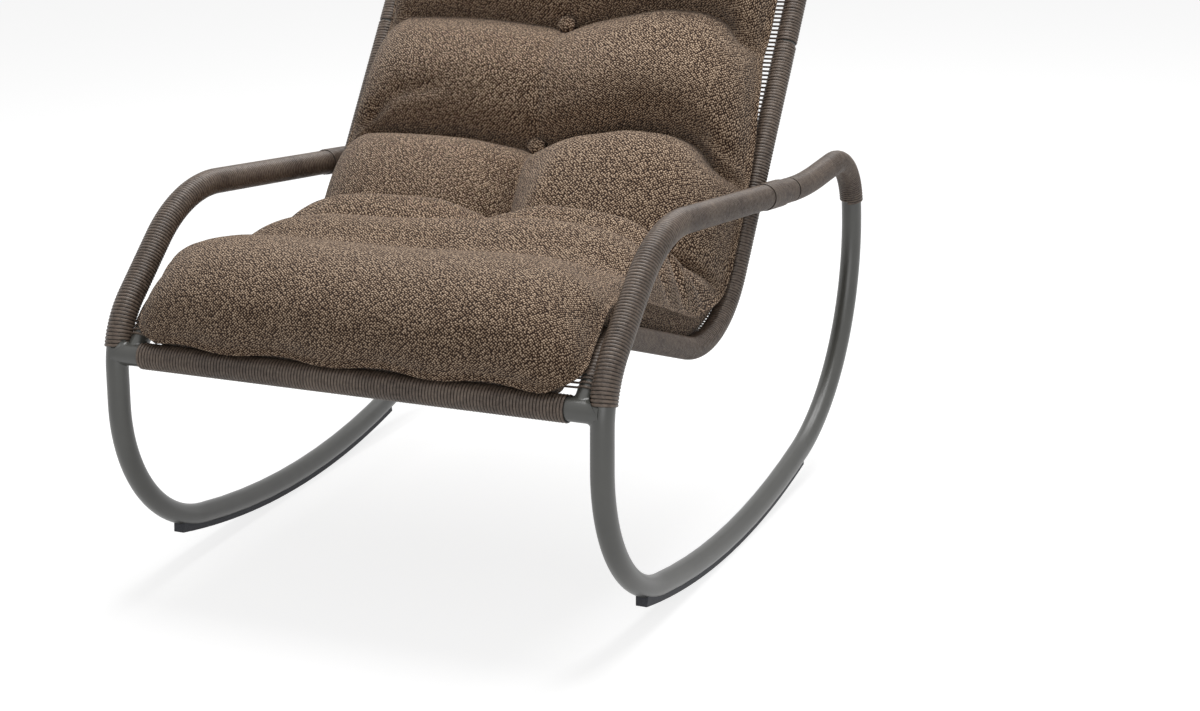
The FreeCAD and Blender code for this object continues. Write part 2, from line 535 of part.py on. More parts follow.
def bent_deck(label, radius_alias, turn_alias, hand, point, heading):
    """Strands stretched across a bend of the rails."""
    radius = size(radius_alias) - hand * size("deck_height")
    inner, outer = radius - size("strand") / 2, radius + size("strand") / 2
    mid = "Sheet.%s - %d * Sheet.deck_height" % (radius_alias, hand)
    body = doc.addObject("PartDesign::Body", label)
    half, gap_half = size("deck_half_width"), size("deck_half_width") - size("deck_border")
    panel = body.newObject("Sketcher::SketchObject", label + "_panel")
    attach(panel, body, "XZ_Plane")
    rectangle(panel, -half, half, -outer, -inner,
              ("-" + HALF, HALF, "-(%s) - Sheet.strand / 2" % mid, "-(%s) + Sheet.strand / 2" % mid))
    doc.recompute()
    sweep = body.newObject("PartDesign::Revolution", label + "_sweep")
    sweep.Profile = panel
    sweep.ReferenceAxis = axis_of(body, "X_Axis")
    sweep.setExpression("Angle", "Sheet.%s" % turn_alias)
    gap = body.newObject("Sketcher::SketchObject", label + "_gap")
    attach(gap, body, "XZ_Plane")
    rectangle(gap, -gap_half, gap_half, -outer - OVER, -inner + OVER,
              ("-" + GAP_HALF, GAP_HALF, "-(%s) - Sheet.strand / 2 - %g" % (mid, OVER),
               "-(%s) + Sheet.strand / 2 + %g" % (mid, OVER)))
    doc.recompute()
    turn = size(turn_alias)
    count = int(math.radians(turn) * radius / size("deck_pitch"))
    step = turn / count
    strand_turn = step * size("strand") / size("deck_pitch")
    gap.AttachmentOffset = FreeCAD.Placement(VEC(0, 0, 0), FreeCAD.Rotation(VEC(1, 0, 0), strand_turn / 2))
    groove = body.newObject("PartDesign::Groove", label + "_groove")
    groove.Profile = gap
    groove.ReferenceAxis = axis_of(body, "X_Axis")
    groove.setExpression("Angle", "Sheet.%s / %d - %.6f" % (turn_alias, count, strand_turn))
    pattern = body.newObject("PartDesign::PolarPattern", label + "_pattern")
    pattern.Originals = [groove]
    pattern.Axis = axis_of(body, "X_Axis")
    pattern.Occurrences = count
    pattern.setExpression("Angle", "Sheet.%s * %d / %d" % (turn_alias, count - 1, count))
    body.Tip = pattern
    centre = offset(point, heading, hand * size(radius_alias))
    first = heading if hand > 0 else heading + 180.0 - turn
    body.Placement = FreeCAD.Placement(VEC(0, centre[0] + size("depth_shift"), centre[1]),
                                       FreeCAD.Rotation(VEC(1, 0, 0), first))
    return keep(body)


DECK_AT, _ = walk(RAIL_FOOT, RISE_HEADING, [("deck_start",)])
flat_deck("deck_rise", "deck_rise", DECK_AT, RISE_HEADING)
bent_deck("deck_front_bend", "crest_radius", "crest_bend", RIGHT, CREST_AT, CREST_HEADING)
flat_deck("deck_seat", "seat_length", SEAT_AT, SEAT_HEADING)
bent_deck("deck_rear_bend", "lap_radius", "lap_bend", LEFT, LAP_AT, LAP_HEADING)
flat_deck("deck_back", "deck_back", BACK_AT, BACK_HEADING, rounded=True)


# Extra turns that bind each arm to the upright behind it, where the two cross in the side view.
arm_fall = math.tan(math.radians(180.0 - START))
back_slope = 1.0 / math.tan(math.radians(BACK_HEADING))
arm_above = JOINT[1] + arm_fall * JOINT[0] - BACK_AT[1]
cross_y = (BACK_AT[0] + back_slope * arm_above) / (1 + back_slope * arm_fall)
first_turn = cross_y + size("binding_length") / 2
bind_at = (first_turn, JOINT[1] - arm_fall * (first_turn - JOINT[0]))
bindings = []
for side, sign in SIDES:
    ring = bent_tube("binding_ring_" + side, [("binding_length",)],
                     place(sign * size("loop_half_width"), bind_at, START), "Sheet.binding_outer", LOOP_WRAP)
    bindings.append(boolean("binding_" + side, "cut", ring, [doc.getObject("upright_full_" + side)]))
keep(boolean("arm_bindings", "gather", bindings[0], bindings[1:]))


def along(distance):
    """Point and heading on the rails at a distance from the front rail."""
    point, heading, left = RAIL_FOOT, RISE_HEADING, distance
    for seg in RISE + SEAT:
        length = size(seg[0]) if len(seg) == 1 else size(seg[0]) * math.radians(size(seg[1]))
        if left <= length:
            part = left / length
            if len(seg) == 1:
                return (point[0] + left * math.cos(math.radians(heading)),
                        point[1] + left * math.sin(math.radians(heading))), heading
            turn = math.radians(size(seg[1])) * part * seg[2]
            radius, angle = size(seg[0]) * seg[2], math.radians(heading)
            bent = (point[0] + radius * (math.sin(angle + turn) - math.sin(angle)),
                    point[1] + radius * (math.cos(angle) - math.cos(angle + turn)))
            return bent, heading + math.degrees(turn)
        point, heading = walk(point, heading, [seg])
        left -= length
    angle = math.radians(heading)
    return (point[0] + left * math.cos(angle), point[1] + left * math.sin(angle)), heading


# Cushion stations: distance along the rails, base, seam, crown and centre heights, half width as a share.
# A base under the deck's face is cut away by the deck, so the cushion lies flat there.
STATIONS = [
    (8.0, 20.0, 22.5, 26.5, 26.0, 0.86), (34.0, 5.0, 28.0, 60.0, 57.0, 0.98),
    (88.0, 5.0, 36.0, 85.0, 82.0, 0.995), (148.0, 5.0, 50.0, 79.0, 76.0, 1.0),
    (196.0, 5.0, 54.0, 77.0, 72.0, 0.995), (250.0, 5.0, 57.0, 133.0, 128.0, 1.0),
    (284.0, 5.0, 57.0, 127.0, 121.0, 0.99), (316.0, 6.0, 56.0, 156.0, 145.0, 1.0),
    (345.0, 11.0, 54.0, 140.0, 132.0, 1.0), (398.0, 21.0, 50.0, 118.0, 112.0, 0.99),
    (432.0, 24.0, 47.0, 104.0, 98.0, 0.985), (468.0, 22.0, 44.0, 120.0, 110.0, 0.985),
    (520.0, 12.0, 38.0, 118.0, 106.0, 0.99), (572.0, 5.0, 33.0, 104.0, 92.0, 0.995),
    (622.0, 5.0, 29.0, 90.0, 74.0, 0.995), (664.0, 5.0, 25.0, 62.0, 44.0, 0.985),
    (706.0, 5.0, 26.0, 88.0, 74.0, 0.985), (755.0, 5.0, 29.0, 99.0, 86.0, 0.965),
    (804.0, 5.0, 26.0, 88.0, 74.0, 0.95), (846.0, 5.0, 22.0, 62.0, 44.0, 0.935),
    (888.0, 5.0, 25.0, 88.0, 74.0, 0.94), (932.0, 5.0, 28.0, 95.0, 84.0, 0.94),
    (974.0, 5.0, 26.0, 84.0, 74.0, 0.92), (1010.0, 6.0, 22.0, 58.0, 53.0, 0.89),
    (1032.0, 17.0, 20.0, 24.0, 23.5, 0.82),
]
BUTTON_STATIONS = (664.0, 846.0)
VALLEYS = (196.0, 284.0, 432.0) + BUTTON_STATIONS
# A section's shape: foot drawn in from the seam, bulge below the seam, crown between middle and seam.
FOOT_IN, FOOT_SHARE = 26.0, 0.5
BULGE_IN, BULGE_SHARE = 5.0, 0.45
PEAK_SHARE = 0.52


def cushion_section(number, station):
    """Closed outline across the cushion: flat base, drawn-in sides, a crown each side of the middle."""
    distance, base, seam, crown, middle, share = station
    wide = size("cushion_half_width") * share
    foot = wide - FOOT_IN - FOOT_SHARE * (seam - base)
    bulge = VEC(wide - BULGE_IN, base + BULGE_SHARE * (seam - base), 0)
    peak = VEC(PEAK_SHARE * wide, crown, 0)
    foot_left, foot_right = VEC(-foot, base, 0), VEC(foot, base, 0)
    seam_left, seam_right, dip = VEC(-wide, seam, 0), VEC(wide, seam, 0), VEC(0, middle, 0)
    sketch = doc.addObject("Sketcher::SketchObject", "cushion_section%02d" % number)
    sketch.addGeometry(Part.LineSegment(foot_left, foot_right), False)
    sketch.addGeometry(Part.Arc(foot_right, bulge, seam_right), False)
    sketch.addGeometry(Part.Arc(seam_right, peak, dip), False)
    sketch.addGeometry(Part.Arc(dip, VEC(-peak.x, peak.y, 0), seam_left), False)
    sketch.addGeometry(Part.Arc(seam_left, VEC(-bulge.x, bulge.y, 0), foot_left), False)
    for n in range(5):
        sketch.addConstraint(Sketcher.Constraint("Coincident", n, 2, (n + 1) % 5, 1))
    sketch.addConstraint(Sketcher.Constraint("Symmetric", 0, 1, 0, 2, -2))
    sketch.addConstraint(Sketcher.Constraint("Symmetric", 1, 2, 3, 2, -2))
    sketch.addConstraint(Sketcher.Constraint("PointOnObject", 2, 2, -2))
    sketch.addConstraint(Sketcher.Constraint("Equal", 2, 3))
    sketch.addConstraint(Sketcher.Constraint("Equal", 1, 4))
    ratio = "Sheet.cushion_half_width * %.4f" % share
    lift = "Sheet.cushion_base + %.3f"
    bind(sketch, Sketcher.Constraint("DistanceX", -1, 1, 1, 2, wide), "half_width", ratio)
    bind(sketch, Sketcher.Constraint("DistanceX", -1, 1, 0, 2, foot), "foot",
         ratio + " - %.3f" % (wide - foot))
    for edge, height, name in ((0, base, "base"), (1, seam, "seam"), (2, middle, "middle")):
        bind(sketch, Sketcher.Constraint("DistanceY", -1, 1, edge, 2, height), name,
             lift % (height - size("cushion_base")))
    point, heading = along(distance)
    angle = math.radians(heading)
    normal = VEC(0, -math.sin(angle), math.cos(angle))
    turn = FreeCAD.Rotation(VEC(1, 0, 0), normal, VEC(1, 0, 0).cross(normal), "XYZ")
    sketch.Placement = FreeCAD.Placement(VEC(0, point[0] + size("depth_shift"), point[1]), turn)
    sketch.Visibility = False
    return sketch


def button(number, station):
    """Covered button: a low dome drawn into the cushion's middle."""
    distance, _, _, _, middle, _ = station
    body = doc.addObject("PartDesign::Body", "button%d" % number)
    sketch = body.newObject("Sketcher::SketchObject", "button_section%d" % number)
    attach(sketch, body, "XZ_Plane")
    radius, height = size("button_outer") / 2, size("button_height")
    rim = VEC(radius, size("button_rim"), 0)
    rise = height - rim.y
    dome_radius = (radius ** 2 + rise ** 2) / (2 * rise)
    shoulder = VEC(radius / 2, height - dome_radius + math.sqrt(dome_radius ** 2 - radius ** 2 / 4), 0)
    sketch.addGeometry(Part.LineSegment(VEC(0, 0, 0), VEC(radius, 0, 0)), False)
    sketch.addGeometry(Part.LineSegment(VEC(radius, 0, 0), rim), False)
    sketch.addGeometry(Part.Arc(rim, shoulder, VEC(0, height, 0)), False)
    sketch.addGeometry(Part.LineSegment(VEC(0, height, 0), VEC(0, 0, 0)), False)
    for n in range(4):
        sketch.addConstraint(Sketcher.Constraint("Coincident", n, 2, (n + 1) % 4, 1))
    sketch.addConstraint(Sketcher.Constraint("Coincident", 0, 1, -1, 1))
    sketch.addConstraint(Sketcher.Constraint("Horizontal", 0))
    sketch.addConstraint(Sketcher.Constraint("Vertical", 1))
    sketch.addConstraint(Sketcher.Constraint("Vertical", 3))
    sketch.addConstraint(Sketcher.Constraint("PointOnObject", 2, 3, -2))
    bind(sketch, Sketcher.Constraint("Distance", 0, radius), "radius", "Sheet.button_outer / 2")
    bind(sketch, Sketcher.Constraint("Distance", 1, rim.y), "rim", "Sheet.button_rim")
    bind(sketch, Sketcher.Constraint("Distance", 3, height), "height", "Sheet.button_height")
    doc.recompute()
    dome = body.newObject("PartDesign::Revolution", "button_dome%d" % number)
    dome.Profile = sketch
    dome.ReferenceAxis = axis_of(body, "Z_Axis")
    dome.Angle = 360.0
    point, heading = along(distance)
    point = offset(point, heading, middle - size("button_sunk"))
    body.Placement = FreeCAD.Placement(VEC(0, point[0] + size("depth_shift"), point[1]),
                                       FreeCAD.Rotation(VEC(1, 0, 0), heading))
    return body


def deck_bed():
    """Space below the cushion's flat face, along the rails from end to end."""
    body = doc.addObject("PartDesign::Body", "deck_bed")
    path = add_path(body, RISE + SEAT + [("deck_back",)])
    section = body.newObject("Sketcher::SketchObject", "deck_bed_section")
    attach(section, body, "YZ_Plane")
    depth, top, half = size("bed_depth"), size("cushion_base"), size("cushion_half_width")
    rectangle(section, top - depth, top, -half, half,
              ("Sheet.cushion_base - Sheet.bed_depth", "Sheet.cushion_base",
               "-Sheet.cushion_half_width", "Sheet.cushion_half_width"))
    doc.recompute()
    pipe = body.newObject("PartDesign::AdditivePipe", "deck_bed_pipe")
    pipe.Profile = section
    pipe.Spine = (path, ["Edge%d" % (n + 1) for n in range(len(RISE + SEAT) + 1)])
    pipe.Transition = "Transformed"
    body.Placement = place(0.0, RAIL_FOOT, RISE_HEADING)
    return body


sections = [cushion_section(n, station) for n, station in enumerate(STATIONS)]
buttons = [button(n, [s for s in STATIONS if s[0] == d][0]) for n, d in enumerate(BUTTON_STATIONS)]
doc.recompute()
rolls = []
ends = [0] + [n for n, station in enumerate(STATIONS) if station[0] in VALLEYS] + [len(STATIONS) - 1]
for number, (first, last) in enumerate(zip(ends, ends[1:])):
    roll = doc.addObject("Part::Loft", "cushion_roll%d" % number)
    roll.Sections = sections[first:last + 1]
    roll.Solid = True
    roll.Ruled = False
    rolls.append(roll)
whole = doc.addObject("Part::MultiFuse", "cushion_whole")
whole.Shapes = rolls
keep(boolean("cushion", "cut", whole, [deck_bed()] + buttons))
keep(boolean("tuft_buttons", "gather", buttons[0], buttons[1:]))


def finish():
    """Recompute, check every object and write one file per piece."""
    doc.recompute()
    for item in doc.Objects:
        if "Invalid" in item.State or "Error" in item.State:
            raise RuntimeError("%s: %s" % (item.Name, item.State))
    os.makedirs("parts", exist_ok=True)
    whole = []
    for item in exports:
        shape = item.Shape
        if shape.isNull() or not shape.isValid():
            raise RuntimeError("%s has no valid shape" % item.Label)
        whole.append(shape)
        shape.exportStep("parts/%s.step" % item.Label)
    box = Part.makeCompound(whole).optimalBoundingBox(False)
    print("%d pieces, %.1f to %.1f, %.1f to %.1f, %.1f to %.1f mm"
          % (len(whole), box.XMin, box.XMax, box.YMin, box.YMax, box.ZMin, box.ZMax))


finish()
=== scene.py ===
import math

import bmesh
import bpy
import numpy as np
from bpy.props import FloatProperty, FloatVectorProperty, PointerProperty
from mathutils import Matrix, Vector


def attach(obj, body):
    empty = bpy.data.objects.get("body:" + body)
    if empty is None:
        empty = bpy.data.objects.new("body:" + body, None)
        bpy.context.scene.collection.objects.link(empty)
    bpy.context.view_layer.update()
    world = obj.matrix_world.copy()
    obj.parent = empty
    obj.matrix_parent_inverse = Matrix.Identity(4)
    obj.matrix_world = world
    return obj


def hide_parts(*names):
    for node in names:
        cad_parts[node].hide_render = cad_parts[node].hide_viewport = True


bl_info = {
    "name": "Wound Rocking Chair",
    "version": (1, 0, 0),
    "blender": (4, 5, 0),
    "location": "3D View > Sidebar > Rocking Chair",
    "description": "Dresses a garden rocking chair: coated tubes, wound strand, deck and tufted cushion",
    "category": "Add Mesh",
}

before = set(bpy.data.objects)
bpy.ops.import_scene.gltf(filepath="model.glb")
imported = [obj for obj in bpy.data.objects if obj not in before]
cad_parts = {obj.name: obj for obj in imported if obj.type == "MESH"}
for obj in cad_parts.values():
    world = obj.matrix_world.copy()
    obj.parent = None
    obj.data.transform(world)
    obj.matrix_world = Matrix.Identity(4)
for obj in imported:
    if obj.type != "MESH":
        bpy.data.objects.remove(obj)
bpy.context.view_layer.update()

SIDES = (("right", 1.0), ("left", -1.0))
BODY = "root"
# Turns of the winding stray this far from their even places, in two waves of a given reach and phase.
STRAY = 0.00012
STRAY_WAVES = ((0.0061, 0.0), (0.0143, 1.0))


def linear(hex_text):
    """Linear RGBA of an sRGB hex colour."""
    channels = [int(hex_text[n:n + 2], 16) / 255.0 for n in (1, 3, 5)]
    return [c / 12.92 if c <= 0.04045 else ((c + 0.055) / 1.055) ** 2.4 for c in channels] + [1.0]


def length(label, note, metres):
    """Property that holds a length in metres."""
    return FloatProperty(name=label, description=note, default=metres, unit="LENGTH",
                         subtype="DISTANCE", precision=5)


def angle(label, note, degrees):
    """Property that holds an angle, given in degrees."""
    return FloatProperty(name=label, description=note, default=math.radians(degrees), subtype="ANGLE")


def colour(label, note, hex_text):
    """Property that holds a colour, given as sRGB hex."""
    return FloatVectorProperty(name=label, description=note, default=linear(hex_text), size=4,
                               subtype="COLOR", min=0.0, max=1.0)


class ChairLoopSizes(bpy.types.PropertyGroup):
    """Closed side loops: arm, leg, foot and runner in one bent tube, and the rear bend that closes it."""

    tube: length("Tube", "Outer diameter of the loop's tube", 0.028)
    half_width: length("Half width", "From the middle of the chair to the loop's axis", 0.329)
    joint_depth: length("Joint depth", "Depth of the arm's rear joint before the chair leans", 0.598)
    joint_height: length("Joint height", "Height of the arm's rear joint before the chair leans", 0.4423)
    arm_slope: angle("Arm slope", "Rise of the arm towards the front", 3.6)
    arm_bend_radius: length("Arm bend radius", "Bend from the arm to its front", 0.178)
    arm_bend: angle("Arm bend", "Turn at the arm's front", 48.4)
    arm_rise: length("Arm front", "Straight between the arm's bend and the knee", 0.0862)
    knee_radius: length("Knee radius", "Bend into the leg", 0.122)
    knee_bend: angle("Knee bend", "Turn into the leg", 45.2)
    knee_wrapped: angle("Knee wound", "Part of the knee that carries winding", 33.0)
    leg: length("Leg", "Straight above the foot", 0.0437)
    foot_radius: length("Foot radius", "Bend from the leg to the runner", 0.194)
    foot_bend: angle("Foot bend", "Turn from the leg to the runner", 82.0)
    rocker_radius: length("Rocker radius", "Arc of the runner's axis", 1.204)
    rocker_sweep: angle("Rocker sweep", "Turn of the runner's arc", 23.8)
    rear_radius: length("Rear radius", "Bend that rises behind the runner", 0.280)
    rear_bend: angle("Rear bend", "Turn behind the runner", 84.2)
    tail_radius: length("Tail radius", "Bend of the arm's tail into the arm", 0.700)
    tail_bend: angle("Tail bend", "Turn of the arm's tail into the arm", 9.0)
    lean: angle("Lean", "How far the chair leans back at rest, about the rocker's centre", 3.74)
    depth_shift: length("Depth shift", "From the leg's axis to the middle of the chair's depth", -0.3710151)
    weld: length("Weld", "Radius of the fillet at each weld", 0.0055)


class ChairRailSizes(bpy.types.PropertyGroup):
    """Seat and back rails with the top, walked from the front rail."""

    tube: length("Tube", "Outer diameter of the rails", 0.024)
    half_width: length("Half width", "From the middle of the chair to the rail's axis", 0.303)
    foot_height: length("Front rail height", "Height of the front rail's axis before the chair leans", 0.288)
    rise_slope: angle("Rise slope", "Slope of the rail above the front rail", 46.0)
    rise: length("Rise", "Straight from the front rail's axis", 0.053)
    rise_bare: length("Bare rise", "Part of the rise without winding", 0.038)
    crest_radius: length("Crest radius", "Bend into the seat", 0.080)
    crest_bend: angle("Crest bend", "Turn into the seat", 62.85)
    seat: length("Seat", "Straight of the seat", 0.1957)
    lap_radius: length("Lap radius", "Bend between seat and back", 0.1466)
    lap_bend: angle("Lap bend", "Turn between seat and back", 74.65)
    upright: length("Upright", "Straight of the back up to the top's joint", 0.327)
    top_lead: length("Top lead", "Straight above the joint", 0.135)
    top_radius: length("Top radius", "Corners of the back's top", 0.070)


class ChairWindingSizes(bpy.types.PropertyGroup):
    """Strand wound round the tubes and strung across the rails."""

    pitch: length("Pitch", "From turn to turn of the winding", 0.0042)
    strand: length("Strand", "Thickness of the strand on the tube", 0.0027)
    front_length: length("Front rail winding", "Length of the winding on the front rail", 0.581)
    binding_length: length("Binding", "Length of the second layer at the arm and the upright", 0.062)
    binding_outer: length("Binding diameter", "Outer diameter of the second layer", 0.0374)
    binding_sink: length("Binding sink", "How much the second layer sinks into the first, across", 0.001)
    deck_pitch: length("Deck pitch", "From strand to strand across the rails", 0.006)
    deck_height: length("Deck height", "Deck above the rails' axis", 0.008)
    deck_climb: length("Deck climb", "Where a strand leaves the level, from the rail's axis", 0.022)
    deck_start: length("Deck start", "First strand from the front rail's axis", 0.024)
    deck_end: length("Deck end", "Last strand, measured along the rails", 1.046)


class ChairCushionSizes(bpy.types.PropertyGroup):
    """One-piece seat and back cushion with tufted buttons."""

    half_width: length("Half width", "Half of the cushion's width at its seam", 0.300)
    front: length("Front edge", "Front seam, measured along the rails", 0.013)
    end: length("Top edge", "Top seam, measured along the rails", 1.030)
    base: length("Underside", "Underside above the rails' axis", 0.0102)
    button: length("Button", "Diameter of a covered button", 0.025)
    button_height: length("Button height", "Middle of a button above the rails' axis", 0.0450)
    cell: length("Mesh size", "Spacing of the cushion's mesh", 0.0085)
    swell: length("Swell", "Most that the cover may swell under its filling", 0.007)


class ChairColours(bpy.types.PropertyGroup):
    """Colours of the finishes."""

    coat: colour("Powder coat", "Anthracite coat of the bare tubes", "#4C4C48")
    strand_dark: colour("Strand, dark", "Darker streaks of the strand", "#4A3D34")
    strand_light: colour("Strand, light", "Lighter streaks of the strand", "#857568")
    # The cloth's dark and light ends also serve as painted shade in the gaps between the knots and painted
    # highlight on the knots.
    cloth_dark: colour("Cloth, dark", "Dark yarn of the cushion", "#33231A")
    cloth_mid: colour("Cloth, middle", "Main yarn of the cushion", "#866A52")
    cloth_light: colour("Cloth, light", "Light flecks of the cushion", "#F2DABF")
    rubber: colour("Strip", "Strip under the runner", "#35363B")
    steel: colour("Screws", "Zinc-plated screws", "#B9BBBD")
    floor: colour("Floor", "Studio floor", "#B8B8B8")


class ChairStageSettings(bpy.types.PropertyGroup):
    """Camera and light."""

    camera: FloatVectorProperty(name="Camera", subtype="TRANSLATION", unit="LENGTH",
                                description="Camera's place before the chair leans, from the leg's axis",
                                default=(1.3524, -2.2426, 0.9870))
    lens: FloatProperty(name="Lens", description="Focal length of the camera in millimetres", default=68.82)
    azimuth: angle("Azimuth", "Turn of the camera from straight ahead", 24.59)
    pitch: angle("Pitch", "How far the camera looks down", 14.39)
    sky: FloatProperty(name="Sky", description="Strength of the even studio light", default=0.25)
    lift: FloatProperty(name="Floor lift", description="Light added to the floor for the eye", default=0.78)
    key: FloatProperty(name="Key", description="Power of the overhead soft light in watts", default=66.0)
    fill: FloatProperty(name="Fill", description="Power of the front soft light in watts", default=15.0)


class Path:
    """Planar centre line of straights and bends, read by the distance along it."""

    def __init__(self, start, along, left, segments):
        self.start, self.along, self.left = (np.array(v, float) for v in (start, along, left))
        self.side = np.cross(self.along, self.left)
        rows, marks, run, u, v, turn = [], [0.0], 0.0, 0.0, 0.0, 0.0
        for segment in segments:
            radius, bend = segment if isinstance(segment, tuple) else (None, 0.0)
            reach = segment if radius is None else radius * abs(bend)
            curve = 0.0 if radius is None else math.copysign(1.0 / radius, bend)
            rows.append((run, u, v, turn, curve))
            if curve:
                u += (math.sin(turn + bend) - math.sin(turn)) / curve
                v += (math.cos(turn) - math.cos(turn + bend)) / curve
            else:
                u += reach * math.cos(turn)
                v += reach * math.sin(turn)
            turn += bend
            run += reach
            marks.append(run)
        self.rows, self.marks, self.length = np.array(rows), np.array(marks), run

    def frames(self, distance):
        """Points, directions along and directions to the left at distances along the line."""
        distance = np.asarray(distance, float)
        number = np.clip(np.searchsorted(self.marks, distance, side="right") - 1, 0, len(self.rows) - 1)
        run, u, v, turn, curve = self.rows[number].T
        step = distance - run
        heading = turn + curve * step
        safe = np.where(curve == 0.0, 1.0, curve)
        du = np.where(curve == 0.0, step * np.cos(turn), (np.sin(heading) - np.sin(turn)) / safe)
        dv = np.where(curve == 0.0, step * np.sin(turn), (np.cos(turn) - np.cos(heading)) / safe)
        point = self.start + np.outer(u + du, self.along) + np.outer(v + dv, self.left)
        along = np.outer(np.cos(heading), self.along) + np.outer(np.sin(heading), self.left)
        left = np.outer(-np.sin(heading), self.along) + np.outer(np.cos(heading), self.left)
        return point, along, left

    def stations(self, first=0.0, last=None, turn_step=math.radians(2.5), run_step=0.06):
        """Distances for a smooth tube: close together in the bends, wide apart on the straights."""
        last = self.length if last is None else last
        found = [first]
        for row, begin, end in zip(self.rows, self.marks, self.marks[1:]):
            begin, end = max(begin, first), min(end, last)
            if end - begin > 1e-6:
                count = math.ceil((end - begin) * abs(row[4]) / turn_step) if row[4] else 0
                count = max(count, math.ceil((end - begin) / run_step), 1)
                found += list(np.linspace(begin, end, count + 1)[1:])
        return found

    def bend(self, coords):
        """Points of a piece modelled straight along +X, laid along the line."""
        point, _, left = self.frames(coords[:, 0])
        return point + left * coords[:, 1:2] + np.outer(coords[:, 2], self.side)


class Chair:
    """Centre lines of the chair's tubes, in metres, worked out from the driving sizes."""

    def __init__(self, scene):
        loop, rail = scene.chair_loop, scene.chair_rail
        self.loop, self.rail = loop, rail
        front = [(loop.arm_bend_radius, loop.arm_bend), loop.arm_rise, (loop.knee_radius, loop.knee_bend)]
        heading = math.pi - loop.arm_slope
        start = (0.0, loop.joint_depth, loop.joint_height)
        # The arm is as long as puts the leg's axis at depth 0.
        self.arm = self.line_end(self.upright_line(start, heading, front))[0][1] / math.cos(loop.arm_slope)
        self.loop_bends = [self.arm] + front + [loop.leg, (loop.foot_radius, loop.foot_bend)]
        foot, _, left = self.line_end(self.upright_line(start, heading, self.loop_bends))
        self.centre = foot + left * loop.rocker_radius
        self.loop_bends += [(loop.rocker_radius, loop.rocker_sweep)]
        self.joint, self.joint_heading = self.settle(start), heading - loop.lean
        self.wound_arm = self.arm + loop.arm_bend_radius * loop.arm_bend + loop.arm_rise \
            + loop.knee_radius * loop.knee_wrapped
        self.rail_foot = self.settle((0.0, 0.0, rail.foot_height))
        self.rail_heading = rail.rise_slope - loop.lean
        self.rail_bends = [rail.rise, (rail.crest_radius, -rail.crest_bend), rail.seat,
                           (rail.lap_radius, rail.lap_bend), rail.upright]

    @staticmethod
    def upright_line(start, heading, segments):
        """Path in the side view."""
        along = (0.0, math.cos(heading), math.sin(heading))
        return Path(start, along, (0.0, -along[2], along[1]), segments)

    @staticmethod
    def line_end(line):
        """Point, direction along and direction to the left at a path's end."""
        return [item[0] for item in line.frames([line.length])]

    def settle(self, point):
        """Point of the side view after the chair has leaned back to its rest, in the part's frame."""
        turn = Matrix.Rotation(-self.loop.lean, 3, "X")
        centre = Vector(self.centre)
        return turn @ (Vector(point) - centre) + centre + Vector((0.0, self.loop.depth_shift, 0.0))

    def side_loop(self, sign):
        """Arm, leg, foot and runner of one side."""
        start = self.joint + Vector((sign * self.loop.half_width, 0.0, 0.0))
        return self.upright_line(start, self.joint_heading, self.loop_bends)

    def seat_rail(self, sign, extra=0.0):
        """Rail of the seat and back; sign 0 gives the line in the middle of the chair."""
        start = self.rail_foot + Vector((sign * self.rail.half_width, 0.0, 0.0))
        return self.upright_line(start, self.rail_heading, self.rail_bends[:-1] + [self.rail.upright + extra])

    def rear_bend(self, sign):
        """Tube that closes a loop, from the runner's end up to the arm's rear joint."""
        loop = self.loop
        begin, along, _ = self.line_end(self.side_loop(sign))
        heading = math.atan2(along[2], along[1])
        tail = self.joint_heading + loop.tail_bend
        joint = self.joint + Vector((sign * loop.half_width, 0.0, 0.0))
        curve = self.upright_line(joint, self.joint_heading + math.pi, [(loop.tail_radius, loop.tail_bend)])
        curve_start = self.line_end(curve)[0]
        # The corner turns into the tail's line with the radius that meets it; the tail fills the rest.
        bends = [(loop.rear_radius, loop.rear_bend)]
        apart = curve_start - self.line_end(self.upright_line(begin, heading, bends))[0]
        turn = tail - heading - loop.rear_bend
        radius = (apart[2] * math.cos(tail) - apart[1] * math.sin(tail)) / (math.cos(turn) - 1.0)
        bends.append((radius, turn))
        corner_end = self.line_end(self.upright_line(begin, heading, bends))[0]
        bends += [float(np.linalg.norm(curve_start - corner_end)), (loop.tail_radius, -loop.tail_bend)]
        return self.upright_line(begin, heading, bends)

    def top(self):
        """Tube over the back: a planar U from the right side to the left."""
        rail = self.rail
        point, along, _ = self.line_end(self.seat_rail(1.0))
        quarter = (rail.top_radius, math.pi / 2)
        level = 2 * (rail.half_width - rail.top_radius)
        return Path(point, along, (-1.0, 0.0, 0.0), [rail.top_lead, quarter, level, quarter, rail.top_lead])

    def front_rail(self):
        """Tube between the legs."""
        start = self.rail_foot + Vector((self.loop.half_width, 0.0, 0.0))
        return Path(start, (-1.0, 0.0, 0.0), (0.0, 0.0, 1.0), [2 * self.loop.half_width])


def add_piece(name, bm, material, nodes=(), path=None):
    """Turn a bmesh into a smooth piece of the chair, laid along a path if one is given."""
    bmesh.ops.recalc_face_normals(bm, faces=bm.faces)
    mesh = bpy.data.meshes.new(name)
    bm.to_mesh(mesh)
    bm.free()
    if path is not None:
        coords = np.empty(len(mesh.vertices) * 3)
        mesh.vertices.foreach_get("co", coords)
        mesh.vertices.foreach_set("co", path.bend(coords.reshape(-1, 3)).ravel())
    mesh.shade_smooth()
    mesh.materials.append(material)
    piece = bpy.data.objects.new(name, mesh)
    bpy.context.collection.objects.link(piece)
    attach(piece, BODY)
    if nodes:
        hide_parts(*nodes)
    return piece


def section_ring(bm, radius, sides, place):
    """Circle that a tube or strand starts from: its points and its edges."""
    verts = bmesh.ops.create_circle(bm, radius=radius, segments=sides, matrix=place)["verts"]
    return verts, list({edge for vert in verts for edge in vert.link_edges})


